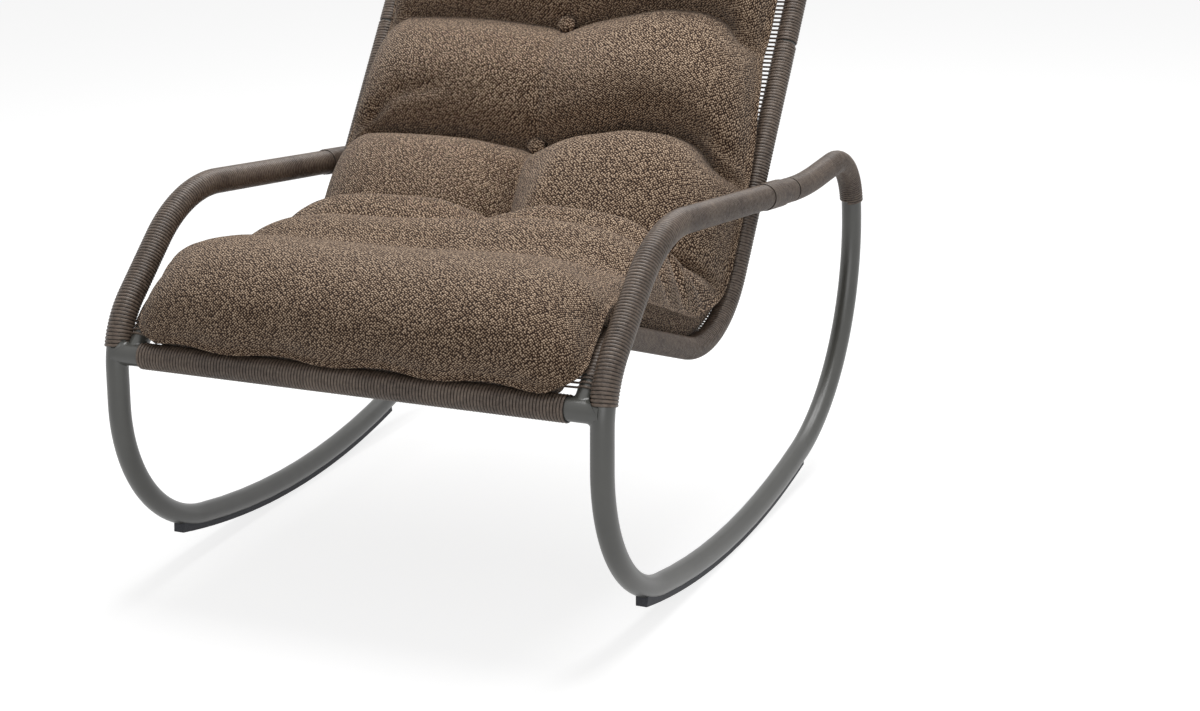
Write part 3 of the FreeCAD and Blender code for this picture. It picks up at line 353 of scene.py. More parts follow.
def grow(bm, edges, vec):
    """Extrude a ring of edges by a vector and return the new ring."""
    grown = bmesh.ops.extrude_edge_only(bm, edges=edges)["geom"]
    verts = [item for item in grown if isinstance(item, bmesh.types.BMVert)]
    bmesh.ops.translate(bm, verts=verts, vec=vec)
    return [item for item in grown if isinstance(item, bmesh.types.BMEdge)]


def close_ends(bm):
    """Cap every open ring, with a crisp edge."""
    ends = [edge for edge in bm.edges if edge.is_boundary]
    for edge in ends:
        edge.smooth = False
    bmesh.ops.holes_fill(bm, edges=ends, sides=0)


def straight_tube(bm, diameter, stations, sides=40):
    """Capped tube along +X with a ring at each station."""
    place = Matrix.Translation((stations[0], 0.0, 0.0)) @ Matrix.Rotation(math.pi / 2, 4, "Y")
    _, edges = section_ring(bm, diameter / 2, sides, place)
    for near, far in zip(stations, stations[1:]):
        edges = grow(bm, edges, (far - near, 0.0, 0.0))
    close_ends(bm)


def repeated(bm, count, step, merge):
    """A shape repeated along +X, with touching rings merged where merge is set."""
    mesh = bpy.data.meshes.new("repeated")
    bm.to_mesh(mesh)
    bm.free()
    item = bpy.data.objects.new("repeated", mesh)
    bpy.context.collection.objects.link(item)
    array = item.modifiers.new("repeat", "ARRAY")
    array.use_relative_offset, array.use_constant_offset = False, True
    array.constant_offset_displace = (step, 0.0, 0.0)
    array.count, array.use_merge_vertices, array.merge_threshold = count, merge, 1e-6
    made = bpy.data.meshes.new_from_object(item.evaluated_get(bpy.context.evaluated_depsgraph_get()))
    bpy.data.objects.remove(item)
    bm = bmesh.new()
    bm.from_mesh(made)
    bpy.data.meshes.remove(made)
    return bm


def wound_strand(core, begin, end, sizes, thickness=None, steps=20):
    """Strand wound in a helix round a core along +X, turn beside turn, with slightly uneven spacing."""
    thick = sizes.strand if thickness is None else thickness
    turns = int(round((end - begin) / sizes.pitch))
    pitch = (end - begin) / (turns + 1)
    section = Matrix.Translation((begin + pitch / 2, core / 2 + thick / 2, 0.0)) \
        @ Matrix.Diagonal((pitch / 2, thick / 2, 1.0, 1.0))
    bm = bmesh.new()
    ring, edges = section_ring(bm, 1.0, 8, section)
    bmesh.ops.spin(bm, geom=ring + edges, cent=(0.0, 0.0, 0.0), axis=(1.0, 0.0, 0.0),
                   dvec=(pitch / steps, 0.0, 0.0), angle=2 * math.pi, steps=steps)
    bm = repeated(bm, turns, pitch, True)
    close_ends(bm)
    # Rise above the core, as a share of the strand; the strand's material paints shade where it is low,
    # between the turns.
    rise = bm.verts.layers.float.new("rise")
    for vert in bm.verts:
        vert[rise] = (math.hypot(vert.co.y, vert.co.z) - core / 2) / thick
        vert.co.x += STRAY * sum(math.sin(vert.co.x / reach + phase) for reach, phase in STRAY_WAVES)
    return bm


def weld_fillet(bm, branch, main, fillet, place, around=48, across=8):
    """Concave bead where a branch tube along +Z meets a main tube along X: the track of a rolling ball."""
    grid = bmesh.ops.create_grid(bm, x_segments=around, y_segments=across, size=0.5)["verts"]
    for vert in grid:
        turn, share = 2 * math.pi * (vert.co.x + 0.5), vert.co.y + 0.5
        ball = Vector(((branch + fillet) * math.cos(turn), (branch + fillet) * math.sin(turn), 0.0))
        ball.z = math.sqrt(max((main + fillet) ** 2 - ball.y ** 2, 0.0))
        upper = Vector((branch * math.cos(turn), branch * math.sin(turn), ball.z))
        lower = Vector((ball.x, ball.y * main / (main + fillet), ball.z * main / (main + fillet)))
        rim = (upper - ball).slerp(lower - ball, share, upper - ball).normalized()
        vert.co = place @ (ball + fillet * rim)
    bmesh.ops.remove_doubles(bm, verts=grid, dist=1e-5)


class NodeSheet:
    """Node tree of a material or a world under construction."""

    def __init__(self, owner):
        owner.use_nodes = True
        self.owner, self.tree = owner, owner.node_tree
        self.tree.nodes.clear()

    def add(self, kind, settings=None, stops=(), **inputs):
        """Add a node, set its properties and ramp stops, and link or set its inputs (_n is input n)."""
        node = self.tree.nodes.new("ShaderNode" + kind)
        for key, value in (settings or {}).items():
            setattr(node, key, value)
        for number, (position, value) in enumerate(stops):
            ramp = node.color_ramp.elements
            element = ramp[number] if number < len(ramp) else ramp.new(position)
            element.position, element.color = position, value
        for key, value in inputs.items():
            socket = node.inputs[int(key[1:])] if key[0] == "_" else node.inputs[key.replace("_", " ")]
            if isinstance(value, bpy.types.NodeSocket):
                self.tree.links.new(value, socket)
            else:
                socket.default_value = value
        return node


def per_metre(millimetres):
    """Pattern scale that repeats once in a length given in millimetres."""
    return 1000.0 / millimetres


def tinted(colour_value, share):
    """A colour made darker or lighter by a share."""
    return [min(share * channel, 1.0) for channel in colour_value[:3]] + [1.0]


def powder_coat(colours):
    """Powder-coated aluminium: sprayed and baked, satin, so lamps draw soft bands along the tubes."""
    sheet = NodeSheet(bpy.data.materials.new("powder_coated_aluminium"))
    where = sheet.add("TexCoord").outputs["Object"]
    # The melted powder leaves a faint pebble 1.6 mm across; handling leaves clouds 45 mm across.
    pebble = sheet.add("TexNoise", Vector=where, Scale=per_metre(1.6), Detail=2.0)
    cloud = sheet.add("TexNoise", Vector=where, Scale=per_metre(45.0), Detail=3.0)
    tint = sheet.add("ValToRGB", Fac=cloud.outputs["Fac"],
                     stops=[(0.3, tinted(colours.coat, 0.88)), (0.7, tinted(colours.coat, 1.12))])
    bump = sheet.add("Bump", Strength=0.10, Distance=0.0003, Height=pebble.outputs["Fac"])
    shader = sheet.add("BsdfPrincipled", Base_Color=tint.outputs["Color"], Roughness=0.34,
                       Specular_IOR_Level=0.8, Normal=bump.outputs["Normal"])
    sheet.add("OutputMaterial", Surface=shader.outputs[0])
    return sheet.owner


def wound_resin(colours):
    """Extruded resin strand: smooth and slightly waxy, mottled in two browns, with painted shade between the
    turns.
    """
    sheet = NodeSheet(bpy.data.materials.new("extruded_resin_strand"))
    where = sheet.add("TexCoord").outputs["Object"]
    streak = sheet.add("TexNoise", Vector=where, Scale=per_metre(5.0), Detail=3.0, Roughness=0.65)
    patch = sheet.add("TexNoise", Vector=where, Scale=per_metre(70.0), Detail=2.0)
    half = sheet.add("Math", {"operation": "MULTIPLY"}, _0=streak.outputs["Fac"], _1=0.6)
    mixed = sheet.add("Math", {"operation": "MULTIPLY_ADD"}, _0=patch.outputs["Fac"], _1=0.4,
                      _2=half.outputs[0])
    tint = sheet.add("ValToRGB", Fac=mixed.outputs[0],
                     stops=[(0.36, list(colours.strand_dark)), (0.64, list(colours.strand_light))])
    # Painted shade: the strand darkens towards the gaps between the turns, where it sinks to the core.
    rise = sheet.add("Attribute", {"attribute_name": "rise"})
    gap_shade = sheet.add("ValToRGB", Fac=rise.outputs["Fac"],
                     stops=[(0.58, (0.10, 0.09, 0.08, 1.0)), (0.96, (1.0, 1.0, 1.0, 1.0))])
    tint = sheet.add("Mix", {"data_type": "RGBA", "blend_type": "MULTIPLY"}, _0=1.0,
                     _6=tint.outputs["Color"], _7=gap_shade.outputs["Color"])
    fine = sheet.add("TexNoise", Vector=where, Scale=per_metre(0.7), Detail=1.0)
    bump = sheet.add("Bump", Strength=0.15, Distance=0.0003, Height=fine.outputs["Fac"])
    shader = sheet.add("BsdfPrincipled", Base_Color=tint.outputs[2], Roughness=0.42,
                       Specular_IOR_Level=0.45, Normal=bump.outputs["Normal"])
    sheet.add("OutputMaterial", Surface=shader.outputs[0])
    return sheet.owner


def melange_cloth(colours):
    """Melange upholstery in a chunky basket weave: matt, each knot with a painted highlight on top and
    painted shade in the gap round it.
    """
    sheet = NodeSheet(bpy.data.materials.new("melange_upholstery"))
    source = sheet.add("TexCoord").outputs["UV"]
    # Hand of the cloth: rows wander by up to a knot over a centimetre.
    wander = sheet.add("TexNoise", Vector=source, Scale=per_metre(11.0), Detail=2.0)
    drift = sheet.add("VectorMath", {"operation": "MULTIPLY_ADD"}, _0=wander.outputs["Color"],
                      _1=(0.0022, 0.0022, 0.0), _2=source)
    # Knots lie about 2.8 mm apart on rows that run on the slant.
    slant = sheet.add("Mapping", Vector=drift.outputs[0], Rotation=(0.0, 0.0, math.radians(41.0)),
                      Scale=(per_metre(3.0), per_metre(2.7), 1.0))
    knot = sheet.add("TexVoronoi", {"voronoi_dimensions": "2D"}, Vector=slant.outputs[0], Scale=1.0,
                     Randomness=0.55)
    yarn = sheet.add("SeparateColor", Color=knot.outputs["Color"])
    fibre = sheet.add("TexNoise", Vector=source, Scale=per_metre(2.2), Detail=3.0, Roughness=0.7)
    # Painted highlight and painted shade: each knot is lighter at its middle and darker towards its edge; the
    # yarn's dye adds random tone.
    crown = sheet.add("Math", {"operation": "MULTIPLY_ADD"}, _0=knot.outputs["Distance"], _1=-1.7, _2=0.70)
    dye_and_knot_shade = sheet.add("Math", {"operation": "MULTIPLY_ADD"}, _0=yarn.outputs[0], _1=0.34, _2=crown.outputs[0])
    value = sheet.add("Math", {"operation": "MULTIPLY_ADD"}, _0=fibre.outputs["Fac"], _1=0.4,
                      _2=dye_and_knot_shade.outputs[0])
    tint = sheet.add("ValToRGB", Fac=value.outputs[0],
                     stops=[(0.20, list(colours.cloth_dark)), (0.98, list(colours.cloth_light)),
                            (0.52, list(colours.cloth_mid))])
    bump = sheet.add("Bump", Strength=0.8, Distance=0.0010, Height=value.outputs[0])
    shader = sheet.add("BsdfPrincipled", Base_Color=tint.outputs["Color"], Roughness=0.92,
                       Specular_IOR_Level=0.2, Sheen_Weight=0.15, Sheen_Roughness=0.5,
                       Normal=bump.outputs["Normal"])
    sheet.add("OutputMaterial", Surface=shader.outputs[0])
    return sheet.owner


def moulded_rubber(colours):
    """Moulded rubber: matt near-black with a fine dusty grain."""
    sheet = NodeSheet(bpy.data.materials.new("moulded_rubber"))
    where = sheet.add("TexCoord").outputs["Object"]
    grain = sheet.add("TexNoise", Vector=where, Scale=per_metre(2.2), Detail=3.0)
    tint = sheet.add("ValToRGB", Fac=grain.outputs["Fac"],
                     stops=[(0.35, tinted(colours.rubber, 0.75)), (0.65, tinted(colours.rubber, 1.25))])
    bump = sheet.add("Bump", Strength=0.3, Distance=0.0004, Height=grain.outputs["Fac"])
    shader = sheet.add("BsdfPrincipled", Base_Color=tint.outputs["Color"], Roughness=0.7,
                       Normal=bump.outputs["Normal"])
    sheet.add("OutputMaterial", Surface=shader.outputs[0])
    return sheet.owner


def zinc_steel(colours):
    """Zinc-plated steel: bright, slightly cloudy."""
    sheet = NodeSheet(bpy.data.materials.new("zinc_plated_steel"))
    where = sheet.add("TexCoord").outputs["Object"]
    cloud = sheet.add("TexNoise", Vector=where, Scale=per_metre(3.0), Detail=2.0)
    tint = sheet.add("ValToRGB", Fac=cloud.outputs["Fac"],
                     stops=[(0.3, tinted(colours.steel, 0.8)), (0.7, list(colours.steel))])
    shader = sheet.add("BsdfPrincipled", Base_Color=tint.outputs["Color"], Metallic=1.0, Roughness=0.35)
    sheet.add("OutputMaterial", Surface=shader.outputs[0])
    return sheet.owner


class CHAIR_OT_frame(bpy.types.Operator):
    """Coated tubes of the side loops, the rails, the top and the front rail, with their welds"""

    bl_idname = "chair.frame"
    bl_label = "Coated Frame"

    def execute(self, context):
        chair, coat = Chair(context.scene), powder_coat(context.scene.chair_colours)
        loop, rail = chair.loop, chair.rail
        tubes = []
        for side, sign in SIDES:
            tubes += [("loop_tube_" + side, "side_tube_" + side, chair.side_loop(sign), loop.tube, 0.0),
                      ("rear_tube_" + side, "rear_bend_" + side, chair.rear_bend(sign), loop.tube, 0.0),
                      ("rail_tube_" + side, "seat_back_rail_" + side, chair.seat_rail(sign), rail.tube,
                       loop.tube / 4)]
        tubes += [("top_tube", "back_top_tube", chair.top(), rail.tube, 0.0),
                  ("front_rail", "front_rail_tube", chair.front_rail(), loop.tube, 0.0)]
        for name, node, line, tube, first in tubes:
            bm = bmesh.new()
            straight_tube(bm, tube, line.stations(first))
            add_piece(name, bm, coat, [node], line)
        bm = bmesh.new()
        rise = Vector((0.0, math.cos(chair.rail_heading), math.sin(chair.rail_heading)))
        leg = Vector((0.0, 0.0, 1.0))
        for _, sign in SIDES:
            inward = Vector((-sign, 0.0, 0.0))
            for at, branch, main, across in (
                    (sign * loop.half_width, loop.tube, loop.tube, inward),
                    (sign * rail.half_width, rail.tube, loop.tube, rise)):
                axis = leg if across is inward else Vector((1.0, 0.0, 0.0))
                place = Matrix.Translation((at, chair.rail_foot.y, chair.rail_foot.z)) \
                    @ Matrix((axis, across.cross(axis), across)).transposed().to_4x4()
                weld_fillet(bm, branch / 2, main / 2, loop.weld, place)
        add_piece("frame_welds", bm, coat)
        return {"FINISHED"}


class CHAIR_OT_winding(bpy.types.Operator):
    """Strand wound turn by turn round the arms, their rear bends, the front rail, the rails and the top"""

    bl_idname = "chair.winding"
    bl_label = "Wound Strand"

    def execute(self, context):
        chair, sizes = Chair(context.scene), context.scene.chair_winding
        resin = wound_resin(context.scene.chair_colours)
        loop, rail = chair.loop, chair.rail
        bare_end = loop.half_width - sizes.front_length / 2
        jobs = [("front_winding", chair.front_rail(), loop.tube, bare_end, bare_end + sizes.front_length,
                 "front_rail_wrap"),
                ("top_winding", chair.top(), rail.tube, 0.0, chair.top().length, "top_wrap")]
        for side, sign in SIDES:
            jobs.append(("arm_winding_" + side, chair.side_loop(sign), loop.tube, 0.0, chair.wound_arm,
                         "arm_wrap_" + side))
            line = chair.rear_bend(sign)
            jobs.append(("rear_winding_" + side, line, loop.tube, line.marks[1], line.length,
                         "rear_wrap_" + side))
            line = chair.seat_rail(sign)
            jobs.append(("rail_winding_" + side, line, rail.tube, rail.rise_bare, line.length,
                         "rail_wrap_" + side))
        for name, line, core, begin, end, node in jobs:
            bm = wound_strand(core, begin, end, sizes)
            add_piece(name, bm, resin, [node], line)
        for side, sign in SIDES:
            line = chair.side_loop(sign)
            upright = chair.seat_rail(sign)
            spots = np.linspace(0.0, chair.arm, 200)
            arm = line.frames(spots)[0][:, None, 1:]
            back = upright.frames(np.linspace(upright.marks[4], upright.length, 200))[0][None, :, 1:]
            middle = spots[int(np.argmin(np.linalg.norm(arm - back, axis=2).min(axis=1)))]
            thick = (sizes.binding_outer - loop.tube) / 2 - sizes.strand
            inner, reach = loop.tube + 2 * sizes.strand - sizes.binding_sink, sizes.binding_length / 2
            bm = wound_strand(inner, middle - reach, middle + reach, sizes, thick)
            add_piece("arm_binding_" + side, bm, resin, ["arm_bindings"], line)
        return {"FINISHED"}


class CHAIR_OT_deck(bpy.types.Operator):
    """Strands strung from rail to rail under the cushion"""

    bl_idname = "chair.deck"
    bl_label = "Strung Deck"

    def execute(self, context):
        chair, sizes = Chair(context.scene), context.scene.chair_winding
        rail = chair.rail
        line = chair.seat_rail(0.0, extra=rail.top_lead + rail.top_radius)
        bend_at = line.length - rail.top_radius
        hook = (rail.tube + sizes.strand) / 2
        # From the middle the strand runs level, then climbs on to the winding and over it.
        points = [(rail.half_width - sizes.deck_climb, sizes.deck_height)]
        points += [(rail.half_width + hook * math.cos(turn), hook * math.sin(turn))
                   for turn in (math.radians(d) for d in (140.0, 105.0, 70.0, 35.0, 0.0))]
        points = [(-x, h) for x, h in reversed(points)] + points
        bm = bmesh.new()
        place = Matrix.Translation((sizes.deck_start, points[0][1], points[0][0]))
        _, edges = section_ring(bm, sizes.strand / 2, 6, place)
        for (x0, h0), (x1, h1) in zip(points, points[1:]):
            edges = grow(bm, edges, (0.0, h1 - h0, x1 - x0))
        close_ends(bm)
        count = int((sizes.deck_end - sizes.deck_start) / sizes.deck_pitch) + 1
        bm = repeated(bm, count, sizes.deck_pitch, False)
        rise = bm.verts.layers.float.new("rise")
        for vert in bm.verts:
            # Full rise, so the deck's strands get none of the painted shade between turns.
            vert[rise] = 1.0
            # Between the top's rounded corners the strands get shorter.
            into = max(vert.co.x - bend_at, 0.0)
            shorter = rail.top_radius - math.sqrt(rail.top_radius ** 2 - into ** 2)
            vert.co.z -= math.copysign(shorter, vert.co.z)
        nodes = ["deck_rise", "deck_front_bend", "deck_seat", "deck_rear_bend", "deck_back"]
        add_piece("deck_strands", bm, bpy.data.materials["extruded_resin_strand"], nodes, line)
        return {"FINISHED"}


# The cushion's crown along the rails: distance, then height above the rails left, in the middle and right.
CROWN = (
    (0.013, 0.0225, 0.0225, 0.0225), (0.0155, 0.034, 0.034, 0.034), (0.021, 0.045, 0.045, 0.045),
    (0.034, 0.060, 0.060, 0.060), (0.060, 0.075, 0.074, 0.075),
    (0.090, 0.083, 0.082, 0.084), (0.120, 0.080, 0.080, 0.084), (0.150, 0.077, 0.077, 0.085),
    (0.180, 0.076, 0.075, 0.083), (0.205, 0.086, 0.083, 0.094), (0.232, 0.112, 0.112, 0.124),
    (0.256, 0.122, 0.128, 0.138), (0.280, 0.124, 0.127, 0.136), (0.296, 0.138, 0.128, 0.140),
    (0.318, 0.158, 0.142, 0.161), (0.338, 0.154, 0.138, 0.156), (0.360, 0.140, 0.124, 0.142),
    (0.398, 0.124, 0.110, 0.126), (0.436, 0.112, 0.094, 0.114), (0.470, 0.120, 0.092, 0.122),
    (0.510, 0.125, 0.090, 0.127), (0.535, 0.126, 0.089, 0.128), (0.560, 0.125, 0.088, 0.127),
    (0.595, 0.120, 0.086, 0.122), (0.628, 0.107, 0.080, 0.109), (0.648, 0.089, 0.066, 0.091),
    (0.664, 0.056, 0.044, 0.056),
    (0.678, 0.070, 0.056, 0.072), (0.706, 0.090, 0.076, 0.092), (0.755, 0.099, 0.087, 0.100),
    (0.804, 0.088, 0.076, 0.088), (0.832, 0.066, 0.056, 0.066), (0.846, 0.056, 0.046, 0.056),
    (0.860, 0.066, 0.056, 0.066), (0.888, 0.086, 0.074, 0.086), (0.932, 0.094, 0.083, 0.094),
    (0.974, 0.084, 0.075, 0.084), (1.010, 0.056, 0.052, 0.056), (1.032, 0.021, 0.021, 0.021),
)
# Side seam: distance along the rails, height above them, and half width as a share of the full one.
SEAM = (
    (0.008, 0.0225, 0.985), (0.034, 0.0205, 0.995), (0.060, 0.0190, 0.99), (0.085, 0.0225, 0.985),
    (0.105, 0.036, 0.985), (0.130, 0.044, 0.99), (0.200, 0.044, 0.99), (0.300, 0.040, 0.995),
    (0.350, 0.038, 1.0), (0.400, 0.039, 1.0), (0.440, 0.032, 1.0), (0.480, 0.0225, 1.0),
    (0.530, 0.0200, 1.0), (0.600, 0.0210, 1.0), (0.660, 0.0210, 0.995), (0.705, 0.022, 0.985),
    (0.755, 0.027, 0.965), (0.804, 0.026, 0.95), (0.846, 0.022, 0.935), (0.888, 0.025, 0.94),
    (0.932, 0.027, 0.94), (0.974, 0.025, 0.925), (1.010, 0.021, 0.905), (1.032, 0.020, 0.90),
)
# Width of the dip down the middle, and depth of the cleft in it.
DIP = ((0.008, 0.20), (0.200, 0.16), (0.300, 0.085), (0.380, 0.080), (0.450, 0.055), (0.560, 0.060),
       (0.640, 0.085), (0.760, 0.11), (1.032, 0.14))
CLEFT = ((0.008, 0.0), (0.280, 0.0), (0.330, 0.006), (0.440, 0.014), (0.540, 0.016), (0.640, 0.008),
         (0.700, 0.004), (0.800, 0.004), (1.032, 0.0))
# Creases across: distance along the rails, depth and width.
CREASES = ((0.192, 0.003, 0.012), (0.286, 0.007, 0.009), (0.436, 0.016, 0.009), (0.664, 0.013, 0.007),
           (0.846, 0.013, 0.007))
# Courses of the creases: place from the middle, then how far the crease strays along the rails.
BACK_COURSE = ((-0.300, -0.022), (-0.240, 0.004), (-0.150, 0.004), (0.0, 0.0), (0.050, 0.012), (0.100, 0.022),
               (0.150, 0.031), (0.190, 0.030), (0.226, 0.020), (0.262, -0.010), (0.300, -0.030))
LAP_COURSE = ((-0.300, 0.046), (-0.220, 0.006), (-0.150, 0.0), (0.150, 0.0), (0.220, 0.006), (0.300, 0.046))
COURSES = ((0.664, BACK_COURSE, 0.075), (0.846, BACK_COURSE, 0.055), (0.440, LAP_COURSE, 0.060))
# Folds pressed into the right side and mirrored on the left: from and to (along, across), depth and width.
FOLDS = (
    ((0.302, 0.228), (0.276, 0.300), 0.009, 0.009), ((0.345, 0.220), (0.327, 0.300), 0.024, 0.011),
    ((0.362, 0.235), (0.384, 0.300), -0.008, 0.016), ((0.398, 0.240), (0.418, 0.300), 0.008, 0.010),
    ((0.724, 0.135), (0.716, 0.205), 0.008, 0.009), ((0.716, 0.205), (0.668, 0.290), 0.013, 0.009),
    ((0.136, 0.235), (0.122, 0.300), 0.019, 0.012), ((0.092, 0.255), (0.080, 0.300), 0.007, 0.011),
    ((0.205, 0.245), (0.215, 0.300), 0.008, 0.012),
)
BUTTONS = (0.664, 0.846)
CORNER = 0.040
# Notch at the lap: how far it lies to the right, its place along the rails and its reach.
NOTCH_SHIFT, NOTCH_AT, NOTCH_REACH = 0.018, 0.330, 0.080
CLEFT_WIDTH = 0.009
TUFT_DEPTH, TUFT_WIDTH = 0.008, 0.020
# Underside: share of the width where it curls up, length of the curl at its ends, and its sag at the front.
CURL_FROM, END_CURL = 0.965, 0.006
SAG_DEPTH, SAG_AT, SAG_WIDTH = 0.015, 0.0055, 0.0038
# Wave of the front seam: how far it strays, its length, the place of a crest and how far back it reaches.
WAVE, WAVE_LENGTH, WAVE_CREST, WAVE_REACH = 0.0034, 0.140, 0.050, 0.020
# Swelling: pressure of the filling, frames, and the depth of crease that is held still.
PRESSURE, FRAMES, HELD_DEPTH = 4.0, 16, 0.008
# Rings of the sewn lip: how far out from the seam, and half its thickness there.
LIP = ((0.0070, 0.0), (0.0046, 0.0021), (0.0, 0.0006))


def spaced(first, last, cell, crowded, reach, extra):
    """Stations about a cell apart, closer together near the crowded places."""
    fine = np.linspace(first, last, 4000)
    density = 1.0 + extra * sum(np.exp(-((fine - place) / reach) ** 2) for place in crowded)
    share = np.concatenate(([0.0], np.cumsum((density[1:] + density[:-1]) / 2 * np.diff(fine))))
    return np.interp(np.linspace(0.0, share[-1], int(round(share[-1] / cell)) + 1), share, fine)


def eased(table, where, column=1):
    """Smooth reading of a table that never overshoots its rows."""
    rows = np.array(table)
    knots, value = rows[:, 0], rows[:, column]
    gap = np.diff(knots)
    rise = np.diff(value) / gap
    slope = np.concatenate((rise[:1], np.zeros(len(gap) - 1), rise[-1:]))
    same = rise[:-1] * rise[1:] > 0.0
    slope[1:-1][same] = 2.0 / (1.0 / rise[:-1][same] + 1.0 / rise[1:][same])
    number = np.clip(np.searchsorted(knots, where, side="right") - 1, 0, len(gap) - 1)
    t = np.clip((where - knots[number]) / gap[number], 0.0, 1.0)
    run = gap[number]
    return value[number] * (1 + 2 * t) * (1 - t) ** 2 + slope[number] * run * t * (1 - t) ** 2 \
        + value[number + 1] * t ** 2 * (3 - 2 * t) - slope[number + 1] * run * t ** 2 * (1 - t)


def smooth_step(share):
    """Share from 0 to 1 with soft ends."""
    share = np.clip(share, 0.0, 1.0)
    return share ** 2 * (3.0 - 2.0 * share)


def half_width_at(distance, sizes):
    """Half width of the cushion's body with its rounded corners."""
    wide = sizes.half_width * eased(SEAM, distance, 2)
    near = np.minimum(distance - sizes.front, sizes.end - distance)
    inset = np.clip(1.0 - near / CORNER, 0.0, 1.0)
    return wide - CORNER * (1.0 - np.sqrt(1.0 - inset ** 2))


def fold_depth(distance, across):
    """How deep the folds press into the cover."""
    depth = np.zeros_like(distance)
    for begin, end, deep, wide in FOLDS:
        for sign in (1.0, -1.0):
            along, over = end[0] - begin[0], sign * (end[1] - begin[1])
            from_s, from_x = distance - begin[0], across - sign * begin[1]
            share = np.clip((from_s * along + from_x * over) / (along ** 2 + over ** 2), 0.0, 1.0)
            apart = np.hypot(from_s - share * along, from_x - share * over)
            depth += deep * np.exp(-(apart / wide) ** 2) * (0.35 + 0.65 * smooth_step(share * 2.0))
    return depth


def strayed(seen, across):
    """Distance along the rails of a row of the cover, bent by the courses of the creases."""
    moved = seen.copy()
    for middle, course, reach in COURSES:
        moved += eased(course, across) * np.exp(-((seen - middle) / reach) ** 2)
    return moved


def upper_face(seen, distance, across, wide):
    """Height and place across of the cover's upper face, and how deep it is creased."""
    side = np.where(across < 0.0, eased(CROWN, seen, 1), eased(CROWN, seen, 3))
    middle = eased(CROWN, seen, 2)
    # The notch at the lap lies a little to the right of the middle.
    off = np.abs(across - NOTCH_SHIFT * np.exp(-((seen - NOTCH_AT) / NOTCH_REACH) ** 2))
    crown = middle + (side - middle) * smooth_step(off / eased(DIP, seen))
    depth = eased(CLEFT, seen) * np.exp(-(off / CLEFT_WIDTH) ** 2) + fold_depth(distance, across)
    for place, deep, reach in CREASES:
        depth += deep * np.exp(-np.abs((seen - place) / reach) ** 1.4)
    for place in BUTTONS:
        depth += TUFT_DEPTH * np.exp(-((seen - place) ** 2 + across ** 2) / TUFT_WIDTH ** 2)
    seam = eased(SEAM, distance)
    share = np.clip(np.abs(across) / wide, 0.0, 1.0)
    # Creases press downwards on top and inwards at the steep sides, and end at the seam.
    steep, fade = smooth_step((share - 0.80) / 0.18), 1.0 - share ** 30
    height = seam + (crown - seam) * (1.0 - share ** 6) ** 0.55 - depth * fade * (1.0 - steep)
    return height, across - np.sign(across) * depth * fade * steep, depth


def lower_face(distance, across, wide, sizes):
    """Height of the underside: flat on the deck, sagging before its first strand, curling up to the seam."""
    share = np.clip((np.abs(across) / wide - CURL_FROM) / (1.0 - CURL_FROM), 0.0, 1.0)
    near = np.clip(np.minimum(distance - sizes.front, sizes.end - distance) / END_CURL, 0.0, 1.0)
    share = np.maximum(share, 1.0 - near)
    base = sizes.base - SAG_DEPTH * np.exp(-((distance - sizes.front - SAG_AT) / SAG_WIDTH) ** 2)
    return base + (eased(SEAM, distance) - base) * (1.0 - np.sqrt(1.0 - share ** 2))


def swollen(mesh, hold, cap, pressure, frames):
    """Places of a mesh's points after its cover has swelled as cloth under the filling's pressure."""
    body = bpy.data.objects.new("swelling_cover", mesh.copy())
    scene = bpy.context.scene
    scene.collection.objects.link(body)
    group = body.vertex_groups.new(name="held")
    for index, weight in enumerate(hold):
        group.add([index], float(weight), "REPLACE")
    cloth = body.modifiers.new("cover", "CLOTH")
    settings = cloth.settings
    settings.vertex_group_mass, settings.quality, settings.mass = group.name, 4, 0.3
    settings.use_pressure, settings.uniform_pressure_force = True, pressure
    settings.shrink_min, settings.effector_weights.gravity = -0.02, 0.0
    cloth.point_cache.frame_start, cloth.point_cache.frame_end = 1, frames
    for number in range(1, frames + 1):
        scene.frame_set(number)
    made = bpy.data.meshes.new_from_object(body.evaluated_get(bpy.context.evaluated_depsgraph_get()))
    before, after = np.empty(len(mesh.vertices) * 3), np.empty(len(mesh.vertices) * 3)
    mesh.vertices.foreach_get("co", before)
    made.vertices.foreach_get("co", after)
    bpy.data.objects.remove(body)
    scene.frame_set(1)
    move = (after - before).reshape(-1, 3)
    far = np.maximum(np.linalg.norm(move, axis=1, keepdims=True), 1e-9)
    return before.reshape(-1, 3) + move * np.minimum(1.0, cap / far)


